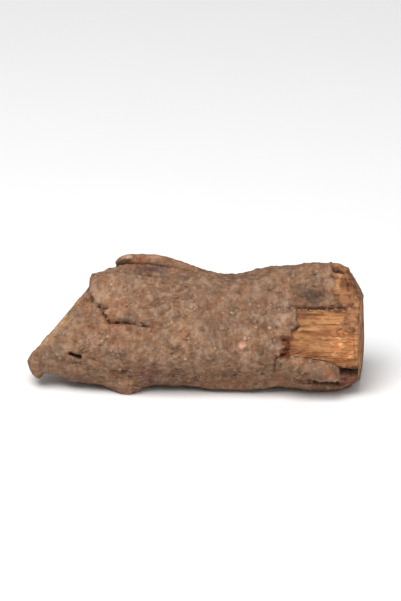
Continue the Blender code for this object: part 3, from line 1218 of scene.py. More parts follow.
@dataclass(frozen=True)
class SawnWood:
    """Wood cut across: growth rings, rays and pores, browned by age, with painted shade in its hollows."""

    light: Colour = (0.485, 0.232, 0.102)
    mid: Colour = (0.318, 0.138, 0.058)
    deep: Colour = (0.120, 0.048, 0.021)
    bark: Colour = (0.145, 0.070, 0.039)
    bark_light: Colour = (0.250, 0.138, 0.082)
    bark_width: float = 2.1

    def coat(self, graph: Graph) -> Coat:
        """Colour, roughness and fine relief.

        Args:
            graph: The material to lay nodes in.

        Returns:
            The colour, the roughness and the fine relief.
        """
        mottle = graph.noise(3.2, 41, 4)
        colour = graph.over(self.mid, self.light, mottle, 0.4, 0.65)
        rings = graph.attribute("rings")
        colour = graph.mix(graph.spread(rings, 0.05, 0.6, 0.42, 0), colour, self.deep)
        rays = graph.attribute("rays")
        colour = graph.over(colour, self.light, rays, 0.2, 0.9, 0.55)
        colour = graph.over(colour, self.deep, graph.noise(5, 45), 0.5, 0.68, 0.45)
        distance, chosen = graph.cells(0.5, 42)
        near = graph.spread(distance, 0.3, 0.18)
        pores = graph.maths("MULTIPLY", near, graph.spread(chosen, 0.4, 0.45, 0, 0.8))
        colour = graph.mix(pores, colour, self.deep)
        rim = rim_bark(graph, self.bark_width, 1.1, 0.6, 43, 1.6)
        bark = graph.over(self.bark, self.bark_light, graph.noise((9, 0.9, 0.9), 46), 0.4, 0.65)
        colour = graph.mix(rim, colour, bark)
        # Painted shade: darker where the fine relief sinks.
        colour = graph.over(colour, self.deep, graph.attribute("fine"), 0.0, -0.4, 0.8)
        return colour, 0.86, graph.noise(0.4, 44, 3)


@dataclass(frozen=True)
class ChoppedWood:
    """Wood chopped along a slant long ago: weathered, with torn fibres and painted shade in its hollows."""

    light: Colour = (0.450, 0.242, 0.120)
    mid: Colour = (0.305, 0.147, 0.070)
    deep: Colour = (0.110, 0.050, 0.026)
    bark: Colour = (0.205, 0.125, 0.076)
    bark_width: float = 1.6

    def coat(self, graph: Graph) -> Coat:
        """Colour, roughness and fine relief.

        Args:
            graph: The material to lay nodes in.

        Returns:
            The colour, the roughness and the fine relief.
        """
        streaks = graph.noise((6, 0.7, 6), 51, 4, 0.6)
        colour = graph.over(self.mid, self.light, streaks, 0.34, 0.7)
        colour = graph.over(colour, self.deep, graph.noise((5, 3.4, 5), 52), 0.52, 0.32, 0.6)
        colour = graph.over(colour, self.deep, graph.noise((9, 1.6, 9), 55, 2, 0.8), 0.53, 0.7, 0.3)
        rim = rim_bark(graph, self.bark_width, 0.9, 0.5, 53, 1.2)
        colour = graph.mix(rim, colour, self.bark)
        # Painted shade: darker where the fine relief sinks.
        colour = graph.over(colour, self.deep, graph.attribute("fine"), -0.05, -0.5, 0.6)
        return colour, 0.88, graph.noise((2, 0.3, 2), 54, 3)


@dataclass(frozen=True)
class WholeRoot:
    """All the finishes of the root's skin, each where it shows, with painted shade in its cracks and under
    the ledge.
    """

    bark: OuterBark = OuterBark()
    low: Bast = Bast(
        (0.235, 0.105, 0.060), (0.140, 0.054, 0.031), (0.075, 0.030, 0.019), (0.300, 0.130, 0.075), 61
    )
    inner: Bast = Bast(
        (0.330, 0.150, 0.066), (0.215, 0.087, 0.040), (0.090, 0.038, 0.022), (0.450, 0.235, 0.105), 64
    )
    scar: Bast = Bast(
        (0.205, 0.055, 0.019), (0.095, 0.023, 0.009), (0.040, 0.011, 0.006), (0.300, 0.110, 0.040), 67
    )
    wood: Wood = Wood()
    sawn: SawnWood = SawnWood()
    chopped: ChoppedWood = ChoppedWood()
    # The torn bark edge's dark colour, also used for the painted shadow under the ledge.
    broken_edge_and_ledge_shadow: Colour = (0.090, 0.035, 0.019)
    shade: Colour = (0.048, 0.020, 0.011)
    painted_crack_shadow: Colour = (0.006, 0.003, 0.002)

    def material(self) -> bpy.types.Material:
        """The root's one material.

        Returns:
            The material, with the bark first and every other finish laid over it.
        """
        graph = Graph("root_all_over")
        colour, roughness, height = self.bark.coat(graph)
        ragged = graph.spread(graph.noise(1.5, 70), 0.25, 0.75, -0.5, 0.3)
        around = graph.maths("MAXIMUM", graph.attribute("bare_wood"), graph.attribute("scar"))
        near_edge = graph.maths("ADD", around, ragged)
        colour = graph.over(colour, self.broken_edge_and_ledge_shadow, near_edge, -0.6, -0.2, 0.6)
        # Painted shadow close under the ledge, in the broken edge's dark colour.
        ledge_shadow_mask = graph.maths("ADD", graph.attribute("ledge_foot_shadow"), ragged)
        colour = graph.over(colour, self.broken_edge_and_ledge_shadow, ledge_shadow_mask, 0.3, 0.9, 0.35)
        layers = (
            ("low_bark", self.low), ("inner_bark", self.inner), ("scar", self.scar), ("bare_wood", self.wood),
        )
        masks = [(graph.spread(graph.attribute(name), -0.12, 0.12), finish) for name, finish in layers]
        masks.append((graph.attribute("sawn"), self.sawn))
        masks.append((graph.attribute("chopped"), self.chopped))
        for mask, finish in masks:
            other, rough, relief = finish.coat(graph)
            colour = graph.mix(mask, colour, other)
            roughness = graph.blend(mask, roughness, rough)
            height = graph.blend(mask, height, relief)
        colour = graph.tinted(colour)
        # Painted shade in the cracks, and a near-black painted shadow where they are deepest.
        crack = graph.attribute("crack")
        crack = graph.maths("ADD", crack, graph.spread(graph.noise(0.9, 72), 0.2, 0.8, -0.3, 0.15))
        colour = graph.over(colour, self.shade, crack, 0.1, 1.0, 0.9)
        colour = graph.over(colour, self.painted_crack_shadow, crack, 1.35, 2.3)
        return graph.finish(colour, roughness, height, 0.15)


@dataclass(frozen=True)
class Cork:
    """The pale corky tan of the bark's pores."""

    deep: Colour = (0.27, 0.155, 0.095)
    light: Colour = (0.41, 0.26, 0.175)

    def coat(self, graph: Graph) -> Coat:
        """Colour, roughness and fine relief."""
        colour = graph.over(self.deep, self.light, graph.noise(3, 101), 0.35, 0.65)
        return colour, 0.9, graph.noise(0.3, 102)


@dataclass(frozen=True)
class WhiteCard:
    """The studio floor's matt white card."""

    dull: Colour = (0.93, 0.93, 0.93)
    bright: Colour = (0.95, 0.95, 0.95)

    def coat(self, graph: Graph) -> Coat:
        """Colour, roughness and fine relief."""
        return graph.mix(graph.noise(60, 111), self.dull, self.bright), 0.95, graph.noise(2, 112)


def lone_material(name: str, finish: Finish, depth: float, tinted: bool = True) -> bpy.types.Material:
    """A material of one finish alone.

    Args:
        name: The material's name.
        finish: What it looks like.
        depth: How deep its fine relief is, in millimetres.
        tinted: Whether the mesh holds a tint for it.

    Returns:
        The material.
    """
    graph = Graph(name)
    colour, roughness, height = finish.coat(graph)
    return graph.finish(graph.tinted(colour) if tinted else colour, roughness, height, depth)


def primitive(add: Callable[..., object], name: str, **sizes: object) -> bpy.types.Object:
    """Adds a primitive with nothing else selected, and names it.

    Args:
        add: What adds the primitive.
        name: Its name.
        **sizes: Its counts and sizes.

    Returns:
        The new object.
    """
    bpy.ops.object.select_all(action="DESELECT")
    add(**sizes)
    piece = bpy.context.active_object
    piece.name = piece.data.name = name
    return piece


def unit_grid(name: str, columns: int, rows: int) -> tuple[bpy.types.Object, Values, Values]:
    """Adds a grid, and gives how far along and how far up each of its points lies, from 0 to 1.

    Args:
        name: The grid's name.
        columns: Its faces along.
        rows: Its faces up.

    Returns:
        The grid, and both shares of each point.
    """
    piece = primitive(
        bpy.ops.mesh.primitive_grid_add, name, x_subdivisions=columns, y_subdivisions=rows, size=1
    )
    along, up, _ = points_of(piece).T + 0.5
    return piece, along, up


def with_modifier(piece: bpy.types.Object, kind: str, **settings: object) -> None:
    """Adds a modifier and applies it.

    Args:
        piece: The piece.
        kind: The kind of modifier.
        **settings: Its settings.
    """
    bpy.ops.object.select_all(action="DESELECT")
    piece.select_set(True)
    bpy.context.view_layer.objects.active = piece
    modifier = piece.modifiers.new(kind.title(), kind)
    for name, value in settings.items():
        setattr(modifier, name, value)
    bpy.ops.object.modifier_apply(modifier=modifier.name)


def in_edit_mode(step: Callable[..., object], **settings: object) -> None:
    """Runs one of edit mode's steps on the whole of the active mesh.

    Args:
        step: The step.
        **settings: Its settings.
    """
    bpy.ops.object.mode_set(mode="EDIT")
    bpy.ops.mesh.select_all(action="SELECT")
    step(**settings)
    bpy.ops.object.mode_set(mode="OBJECT")


def points_of(piece: bpy.types.Object) -> Values:
    """The places of a mesh's vertices, one a row.

    Args:
        piece: The piece.

    Returns:
        A row for each vertex.
    """
    places = np.empty(len(piece.data.vertices) * 3)
    piece.data.vertices.foreach_get("co", places)
    return places.reshape(-1, 3)


def move_points(piece: bpy.types.Object, places: Values) -> None:
    """Moves a mesh's vertices."""
    piece.data.vertices.foreach_set("co", places.astype(np.float32).ravel())
    piece.data.update()


def hold(piece: bpy.types.Object, name: str, values: Values) -> None:
    """Keeps a value, or a colour, at each vertex.

    Args:
        piece: The piece.
        name: The attribute's name.
        values: A number or a colour for each vertex.
    """
    if values.ndim == 1:
        piece.data.attributes.new(name, "FLOAT", "POINT").data.foreach_set("value", values.astype(np.float32))
        return
    colours = np.column_stack((values, np.ones(len(values)))).astype(np.float32)
    piece.data.attributes.new(name, "FLOAT_COLOR", "POINT").data.foreach_set("color", colours.ravel())


def dress(piece: bpy.types.Object, material: bpy.types.Material, smooth: bool = True) -> bpy.types.Object:
    """Gives a piece its material, shades it, and sets it on the root.

    Args:
        piece: The piece.
        material: Its material.
        smooth: Whether its faces are shaded as one.

    Returns:
        The same piece.
    """
    piece.data.materials.clear()
    piece.data.materials.append(material)
    piece.data.polygons.foreach_set("use_smooth", [smooth] * len(piece.data.polygons))
    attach(piece, BODY)
    piece.data.calc_loop_triangles()
    log.info("%s: %d triangles", piece.name, len(piece.data.loop_triangles))
    return piece


@dataclass(frozen=True)
class Tint:
    """A soft patch of the broad side that differs in colour, of its own or as painted light and shade: where,
    how large, and times what.
    """

    at: Pair
    reach: Pair
    times: Colour


TINTS = tuple(Tint(*row) for row in (
    ((34, 30.9), (5.2, 2.8), (0.46, 0.5, 0.56)),
    # Painted shade on the tongue's lower half.
    ((32, 7.4), (9, 1.6), (0.78, 0.76, 0.74)),
    # Painted shade, darker towards the bottom.
    ((0, 6), (28, 3.4), (0.89, 0.88, 0.87)),
    ((40.6, 7.8), (2.8, 2), (1.2, 0.96, 0.9)),
    # Painted highlight along the tongue's top rim.
    ((32.5, 11.4), (5, 0.7), (1.36, 1.34, 1.3)),
    ((42.2, 5.4), (0.9, 0.9), (1.5, 1.32, 1.2)),
    # Painted highlight along the tongue's top rim.
    ((38.4, 10), (2.6, 0.7), (1.25, 1.12, 1.05)),
    # Painted shade in the hollow under the curl, in this row and the next.
    ((-14.4, 38.8), (6, 2), (0.8, 0.8, 0.94)),
    ((-14, 39), (2.4, 1.2), (0.72, 0.72, 0.86)),
    # Painted highlight on the curl's crest.
    ((-21.3, 42.3), (2.6, 0.9), (1.8, 1.95, 2.3)),
    ((-17, 41.3), (2.6, 0.9), (1.1, 0.87, 0.77)),
    # Painted highlight along the curl's crest, in this row and the next.
    ((-12, 42.4), (3.6, 0.8), (1.28, 1.25, 1.22)),
    ((-5, 40.8), (4, 0.9), (1.28, 1.22, 1.16)),
    ((-6, 38.1), (3.8, 1.4), (1.04, 0.93, 0.88)),
    # Painted light on the raised ledge.
    ((-26, 31), (9, 6.5), (1.22, 1.23, 1.23)),
    ((-15, 31), (6, 6), (1.09, 1.08, 1.08)),
    # Painted shade in the pocket below the hole.
    ((-36.2, 10.9), (1.5, 0.8), (0.74, 0.74, 0.66)),
    # Painted shadow on the overhang's torn left side.
    ((-32.5, 33.6), (0.7, 2.3), (0.5, 0.56, 0.62)),
    ((-33.4, 29), (1.1, 0.9), (0.66, 0.68, 0.56)),
    ((-36.6, 17), (2.8, 1.6), (1.16, 1.12, 1.0)),
    # Painted shade on the underside at the left.
    ((-37, 5.2), (7.5, 1.7), (0.72, 0.71, 0.8)),
    ((-24, 19.5), (10, 4.5), (1.1, 1.0, 0.94)),
    ((-5, 28), (7, 8), (1.1, 1.12, 1.12)),
    ((-4, 19.5), (5, 5), (1.14, 1.1, 1.06)),
    ((7, 21.5), (4, 3.5), (0.86, 0.9, 0.95)),
    ((21, 28), (5, 8), (0.9, 0.92, 0.97)),
    ((27, 25), (3.4, 6), (1.16, 1.16, 1.16)),
    ((-41.5, 14.2), (2.2, 2.6), (1.0, 1.13, 1.12)),
    ((-48.4, 10), (1, 3), (1.15, 0.95, 0.85)),
    ((-40.5, 22.2), (4.5, 4.5), (1.2, 1.22, 1.18)),
    # Painted shade, darker and bluer towards the bottom.
    ((-14, 7), (6, 3), (0.9, 0.84, 0.98)),
    ((14.1, 16.1), (1.25, 1.45), (2.7, 2.75, 3.2)),
    ((13.8, 15.1), (1.8, 1.7), (1.3, 1.22, 1.25)),
    ((15.2, 18), (1.3, 0.9), (1.26, 1.22, 1.22)),
    ((15.8, 13.6), (2.4, 1.3), (1.3, 1.3, 1.3)),
    ((42, 34.2), (1.1, 2.4), (1.25, 1.32, 1.25)),
    ((45.3, 34.4), (1.6, 3), (0.74, 0.6, 0.52)),
    ((43.2, 37.4), (1.0, 0.6), (1.8, 2.0, 2.3)),
    ((42.4, 40.8), (1.8, 0.8), (1.35, 1.45, 1.6)),
    ((46.4, 15), (1.9, 5.6), (1.16, 1.17, 1.12)),
    ((48.6, 20), (1.1, 15), (1.2, 1.27, 1.36)),
    # Painted light on the sawn face's front rim.
    ((50.5, 20), (1.3, 16), (1.85, 2.0, 2.15)),
))
WOOD_TINTS = tuple(Tint(*row) for row in (
    ((31.5, 24.6), (3.2, 3.4), (0.84, 0.86, 0.88)),
    ((40.6, 24.6), (3.2, 2.4), (1.18, 1.22, 1.26)),
    ((33, 18), (5.5, 3.4), (0.88, 0.85, 0.82)),
    ((37.5, 20.2), (6, 0.7), (0.7, 0.62, 0.56)),
    ((33.5, 14.2), (5, 1.4), (0.72, 0.68, 0.64)),
    ((41.6, 15.6), (1.6, 0.9), (1.0, 0.78, 0.66)),
    ((46.7, 13), (1.7, 1.7), (1.28, 1.42, 1.5)),
    ((44.2, 17), (1.8, 1.2), (1.18, 1.22, 1.24)),
    # Painted shade along the wood's lower edge, above the gap.
    ((44, 10), (5.4, 0.9), (0.52, 0.44, 0.4)),
    ((43, 12.4), (2.4, 0.9), (1.0, 0.86, 0.84)),
))


def tint_at(spots: Values, patches: tuple[Tint, ...] = TINTS) -> Values:
    """What a colour is multiplied by at places of the drawing.

    Args:
        spots: Places in millimetres, one a row.
        patches: The patches that differ.

    Returns:
        A colour for each place.
    """
    depth, height = DRAWING.to_plane(spots[:, 1], spots[:, 2])
    stray = 0.35 * waves(spots, 2.2, 81)
    near = smoothstep(-1, 1, depth + 6 * (1 - smoothstep(8, 16, height)))
    tint = np.ones((len(spots), 3))
    for patch in patches:
        off = np.hypot((spots[:, 0] - patch.at[0]) / patch.reach[0], (height - patch.at[1]) / patch.reach[1])
        strength = (1 - smoothstep(0.4, 1.15, off + stray)) * near
        tint *= 1 + strength[:, None] * (np.array(patch.times) - 1)
    return tint


@dataclass(frozen=True)
class Rows:
    """Some of the skin's points: which, the line along the root that each lies on, its angle, and its share.

    The share runs from 0 at a line's left end to 1 at its right end or, on a cut face, from middle to rim.
    """

    which: Values
    line: Values
    angle: Values
    share: Values


@dataclass(frozen=True)
class Rims:
    """Both ends of the skin, with a row for each line along the root.

    Left and right are the Xs at which a line ends, and the two rims are its end points. Hung tells whether
    thick bark hangs over the chop there, and stripped how much bark is missing at the saw's cut.
    """

    left: Values
    right: Values
    left_rim: Values
    right_rim: Values
    hung: Values
    stripped: Values


@dataclass
class RootSkin:
    """The whole skin of the root, bark and wood, from the chopped face to the sawn face.

    It begins as a ball. The rings round the ball's poles become the two cut faces, and the others the length
    between them.
    """

    around: int = 236
    rings: int = 418
    end_rings: int = 44
    broad_angle: float = 160
    broad_share: float = 0.36
    under_slab: float = 0.5
    slab_end: float = 1.2
    sawn_cracks: Points = ((112, 1.2), (205, 0.9), (254, 1.3), (12, 1.5), (318, 0.8))
    crack_width: float = 0.75
    pith: Pair = (1.5, 19)
    growth_ring: float = 2.1
    saw_stroke: float = 1.15
    sawn_hollow: float = 0.3
    chop_steps: Points = ((9, 0.9), (20, -0.7))
    chop_pale_band: Pair = (0.5, 3.2)
    chop_edge_times: Colour = (1.5, 1.55, 1.42)
    overhang_torn: float = 0.35
    overhang_corners: tuple[Three, ...] = ((33.8, 36.8, 0.9), (35.4, 36.6, 1.2))
    lip_bluntness: float = 9
    lip_rounding: float = 2.2
    lip_worn: float = 0.5
    lip_drop: float = 0.45
    spots: Values = field(default_factory=lambda: np.empty((0, 3)))
    columns: dict[str, Values] = field(default_factory=dict)

    def line_angles(self) -> Values:
        """The angles of the lines that run along the root, closer on the broad side.

        Returns:
            An angle in degrees for each line.
        """
        even = np.arange(self.around) / self.around
        closer = self.broad_share * np.sin(math.tau * (even - self.broad_angle / 360)) / math.tau
        return 360 * (even - closer) % 360

    def rims(self, angles: Values) -> Rims:
        """Both ends of the lines at some angles, the thick bark's torn overhang included.

        Args:
            angles: The angles of the lines, in degrees.

        Returns:
            The ends.
        """
        left, right = CUTS.left_end(angles), CUTS.right_end(angles)
        right_skin = SURFACE.at(right, angles)
        stripped = np.sum([layer.sink * (right_skin.inside[layer] > 0) for layer in Layer], axis=0)
        left_rim = CUTS.chopped().reached(SURFACE.at(left, angles).points)
        hung = left > CUTS.overhang_x
        height = DRAWING.height(np.full(len(angles), CUTS.overhang_x), angles)
        ragged = self.overhang_torn * waves(spaced(height, angles / 3), 2.2, 83)
        rounded = sum(back * smoothstep(low, high, height) for low, high, back in self.overhang_corners)
        left[hung] = (CUTS.overhang_x + rounded + ragged)[hung]
        left_rim[hung] = SURFACE.at(left[hung], angles[hung]).points
        left_rim[hung, 0] = left[hung]
        left_rim[hung] -= DRAWING.facing(left[hung], angles[hung]) * self.lip_drop
        return Rims(left, right, left_rim, CUTS.sawn().reached(right_skin.points), hung, stripped)

    def put(self, name: str, rows: Rows, values: Number, elsewhere: float = 0.0) -> None:
        """Notes values of some rows, by a name that the material knows."""
        column = self.columns.setdefault(name, np.full(len(self.spots), elsewhere))
        column[rows.which] = values

    def lay_length(self, rims: Rims, rows: Rows) -> None:
        """Lays rows along the root, between the two rims.

        Args:
            rims: Both ends of the lines.
            rows: The rows.
        """
        left, right, hung = rims.left[rows.line], rims.right[rows.line], rims.hung[rows.line]
        x = left + (right - left) * rows.share
        skin = SURFACE.at(x, rows.angle)
        sunk = self.under_slab * smoothstep(0.1, 0.5, skin.inside[Layer.BARE_WOOD])
        sunk *= smoothstep(0, self.slab_end, right - x)
        sunk += self.lip_worn * (1 - np.sqrt(smoothstep(-0.2, self.lip_rounding, x - left))) * hung
        self.spots[rows.which] = skin.points - DRAWING.facing(x, rows.angle) * sunk[:, None]
        self.put("fine", rows, skin.fine)
        self.put("crack", rows, skin.cracks)
        self.put("chop_edge", rows, np.where(hung, 0, 1 - smoothstep(*self.chop_pale_band, x - left)))
        for layer in (*BARE_LAYERS, Layer.LEDGE):
            self.put(layer.name.lower(), rows, skin.inside[layer], OUTSIDE)
        self.columns["bare_wood"][rows.which] -= 0.5 * smoothstep(-1.2, -0.5, skin.inside[Layer.TONGUE])

    def sawn_relief(self, rows: Rows, spots: Values) -> tuple[Values, Values]:
        """The sawn face's saw marks and rings, and its hollow and drying cracks.

        Args:
            rows: The face's rows.
            spots: Their flat places.

        Returns:
            The fine relief and the form.
        """
        away = np.hypot(spots[:, 1] - self.pith[0], spots[:, 2] - self.pith[1])
        wobble = rough_waves(spots, (9, 9, 9), 3, 41)
        rings = 0.5 + 0.5 * np.sin(math.tau * (away + 1.1 * wobble) / self.growth_ring)
        rays = waves(spaced(rows.angle / 3.2, away / 9), 1, 42)
        stroke = spots[:, 2] * 0.94 + spots[:, 1] * 0.34 + 0.4 * wobble
        fine = 0.05 * np.sin(math.tau * stroke / self.saw_stroke) - 0.1 * rings
        fine = fine + 0.14 * waves(spots, 2.2, 43) + 0.12 * waves(spots, 0.8, 44)
        stray = 9 * waves(spots, 5, 45) + 5 * waves(spots, 1.6, 46)
        gape = self.crack_width * smoothstep(0.1, 0.9, rows.share) + 0.01
        cracks = np.zeros(len(spots))
        for facing, depth in self.sawn_cracks:
            aside = np.radians(np.abs(turned(rows.angle, facing + stray))) * away
            cracks += depth * (1 - smoothstep(0, 1, aside / gape)) * smoothstep(0.15, 0.5, rows.share)
        self.put("rings", rows, rings)
        self.put("rays", rows, np.clip(rays * 2, 0, 1))
        self.put("crack", rows, cracks)
        return fine, -self.sawn_hollow * (1 - rows.share) - cracks

    def chopped_relief(self, rows: Rows, spots: Values) -> tuple[Values, Values]:
        """The chopped face's torn fibres, and its steps.

        Args:
            rows: The face's rows.
            spots: Their flat places.

        Returns:
            The fine relief and the form.
        """
        up = (spots - np.array(CUTS.chopped().point)) @ np.array(CUTS.up_the_slant())
        ragged = up + 1.6 * waves(spots, (9, 1.6, 9), 51)
        steps = 0.5 * waves(spots, 4)
        for start, depth in self.chop_steps:
            steps -= depth * smoothstep(start - 0.6, start + 0.6, ragged)
        bent = spots + np.array((0, 1.2, 0)) * waves(spots, 7, 55)[:, None]
        fine = 0.22 * waves(bent, (8, 1.3, 8), 52) + 0.12 * waves(bent, (4, 0.6, 4), 53)
        return fine + 0.14 * waves(spots, 1.4, 54), steps * (1 - smoothstep(0.85, 1, rows.share))

    def lay_face(
        self,
        name: str,
        plane: CutPlane,
        rim: Values,
        rows: Rows,
        relief: Callable[[Rows, Values], tuple[Values, Values]],
    ) -> None:
        """Lays rows flat on a cut, and raises the face's own relief on them.

        Args:
            name: The face's name in the material, with 1 on the face.
            plane: The cut.
            rim: The end points of the lines, which may stand off the cut.
            rows: The rows.
            relief: Gives the face's fine relief and its form, from the rows and their flat places.
        """
        level = plane.reached(rim)
        middle = level.mean(0)
        flat = middle + (level[rows.line] - middle) * rows.share[:, None]
        self.put("cut_in", rows, np.linalg.norm(level[rows.line] - flat, axis=1))
        fine, form = relief(rows, flat)
        self.put("fine", rows, fine)
        self.put(name, rows, 1.0)
        flat += (rim - level)[rows.line] * (rows.share**self.lip_bluntness)[:, None]
        raised = fine * (1 - smoothstep(0.95, 1, rows.share)) + form
        self.spots[rows.which] = flat + np.array(plane.facing) * raised[:, None]

    def tint(self) -> Values:
        """What the skin's colour is multiplied by: the tints, painted light and shade among them, and a pale
        band along the chop's edge.

        Returns:
            A colour for each point.
        """
        x = self.spots[:, 0]
        edge = self.columns.pop("chop_edge") * smoothstep(-52, -45, x) * (1 - smoothstep(-38, -33, x))
        edge *= smoothstep(-0.6, 0.3, waves(self.spots, 1.8, 82))
        return tint_at(self.spots) * (1 + edge[:, None] * (np.array(self.chop_edge_times) - 1))

    def ledge_foot_shadow(self) -> Values:
        """1 close under the ledge, where a shadow is painted, and 0 elsewhere."""
        inside = self.columns.pop("ledge")
        return smoothstep(-1.1, -0.3, inside) * (inside < 0) * smoothstep(-20, -25, self.spots[:, 0])

    def build(self) -> bpy.types.Object:
        """Lays a ball's rings out as the two cut faces and the length between them.

        Returns:
            The piece.
        """
        counts = {"segments": self.around, "ring_count": self.rings}
        piece = primitive(bpy.ops.mesh.primitive_uv_sphere_add, "root_skin", radius=1, **counts)
        ball = points_of(piece)
        rise = np.arccos(np.clip(-ball[:, 2], -1, 1)) / math.pi
        turn = np.arctan2(ball[:, 1], ball[:, 0]) / math.tau
        ring = np.rint(rise * self.rings).astype(int)
        line = np.rint(turn * self.around).astype(int) % self.around
        angles = self.line_angles()
        rims = self.rims(angles)
        first, last = self.end_rings, self.rings - self.end_rings
        between = (ring - first) / (last - first)
        length, chopped, sawn = (
            Rows(which, line[which], angles[line[which]], share[which])
            for which, share in (
                ((ring >= first) & (ring <= last), between),
                (ring < first, ring / first),
                (ring > last, (self.rings - ring) / first),
            )
        )
        self.spots = np.empty((len(ball), 3))
        self.lay_length(rims, length)
        self.lay_face("chopped", CUTS.chopped(), rims.left_rim, chopped, self.chopped_relief)
        self.lay_face("sawn", CUTS.sawn(), rims.right_rim, sawn, self.sawn_relief)
        self.columns["cut_in"][sawn.which] += rims.stripped[sawn.line]
        self.spots[ring == first] = rims.left_rim[line[ring == first]]
        self.spots[ring == last] = rims.right_rim[line[ring == last]]
        places = DRAWING.framed(self.spots)
        places[:, 2] = np.maximum(places[:, 2], 0)
        move_points(piece, places)
        self.columns["tint"] = self.tint()
        self.columns["ledge_foot_shadow"] = self.ledge_foot_shadow()
        for name, values in self.columns.items():
            hold(piece, name, values)
        in_edit_mode(bpy.ops.mesh.normals_make_consistent, inside=False)
        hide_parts(NODE)
        return dress(piece, WholeRoot().material())


@dataclass
class WoodSlab:
    """The wood laid bare, with its grain: a thin slab that fills the window in the bark."""

    left: float = 26.5
    low: float = 7.0
    low_right: float = 9.1
    high: float = 28.0
    columns: int = 84
    rows: int = 176
    gap: float = 0.1
    sink: float = 1.9
    end_drop: float = 0.6
    thickness: float = 0.9
    pits: tuple[tuple[float, float, float, float], ...] = ((43.6, 21.2, 1.1, 0.8), (44.2, 19.9, 0.8, 0.7))

    def relief(self, x: Values, height: Values, spots: Values) -> Values:
        """How far the wood's surface stands out.

        Args:
            x: How far along the root, in millimetres.
            height: The height on the drawing plane.
            spots: The same places on the smooth form.

        Returns:
            How far out, in millimetres.
        """
        places = spaced(x, height + 0.35 * waves(spots, (9, 3, 3), 91))
        relief = 0.16 * waves(places, (16, 1.9, 1), 92) + 0.13 * waves(places, (12, 0.75, 1), 93)
        relief += 0.07 * waves(places, (7, 0.33, 1), 94)
        line = np.abs(waves(places, (19, 2.1, 1), 95))
        relief -= 0.28 * (1 - smoothstep(0, 0.07, line)) * smoothstep(-0.1, 0.4, waves(places, 7, 96))
        slant = spaced(0.8 * x + 0.6 * height, 0.8 * height - 0.6 * x)
        lower_right = smoothstep(39, 44, x) * (1 - smoothstep(18, 21, height))
        relief += lower_right * 0.3 * waves(slant, (5, 0.8, 1), 97)
        for pit_x, pit_height, reach, depth in self.pits:
            off = np.hypot((x - pit_x) / 1.4, height - pit_height) + 0.4 * waves(places, 1.1, 98)
            relief -= depth * (1 - smoothstep(0.4 * reach, reach, off))
        return relief

    def shade(self, x: Values, height: Values, spots: Values) -> Values:
        """How light the wood is: palest at its lower right, darker by the bark, with painted shade at its
        lower left and a painted shadow along the tongue's edge.

        Args:
            x: How far along the root, in millimetres.
            height: The height on the drawing plane.
            spots: The wood's places in millimetres.

        Returns:
            What its colour is multiplied by.
        """
        places = np.column_stack((x, height))
        paler = smoothstep(38, 44, x) * (1 - smoothstep(19, 23, height))
        low_left_shade = (1 - smoothstep(34, 40, x)) * (1 - smoothstep(11.5, 16, height))
        tongue_shadow = smoothstep(-1.2, -0.1, TORN.inside(Layer.TONGUE, places, TORN.torn(places))[0])
        by_bark = 1 - smoothstep(27.8, 30, x + 0.6 * waves(spots, 1.5, 99))
        # Painted shade at the lower left, and a painted shadow along the tongue's edge.
        shade = 0.82 + 0.38 * paler - 0.1 * low_left_shade - 0.15 * by_bark
        return shade * (1 - 0.75 * tongue_shadow * smoothstep(30, 36, x))

    def build(self) -> bpy.types.Object:
        """Bends a grid to the root under the bark and gives it thickness.

        Returns:
            The piece.
        """
        piece, across, up = unit_grid("bare_wood", self.columns, self.rows)
        angle = DRAWING.angle_at(np.full(len(up), 48.0), self.low + up * (self.high - self.low))
        right = CUTS.right_end(angle) - self.gap
        x = self.left + across * (right - self.left)
        low = self.low + (self.low_right - self.low) * smoothstep(41.5, 43.5, x)
        height = low + up * (self.high - low)
        angle = DRAWING.angle_at(x, height)
        spots, facing = DRAWING.skin(x, angle), DRAWING.facing(x, angle)
        growth = GROWTH.relief(x, angle, spots)[0]
        relief = self.relief(x, height, spots)
        ends = 1 - smoothstep(0, 0.9, right - x)
        out = growth - self.sink + relief - self.end_drop * ends
        spots = spots + facing * out[:, None]
        move_points(piece, DRAWING.framed(spots))
        hold(piece, "fine", relief)
        hold(piece, "tint", self.shade(x, height, spots)[:, None] * tint_at(spots, WOOD_TINTS))
        with_modifier(piece, "SOLIDIFY", thickness=self.thickness * MM, offset=-1.0)
        return dress(piece, lone_material("bare_wood", Wood(), 0.12))


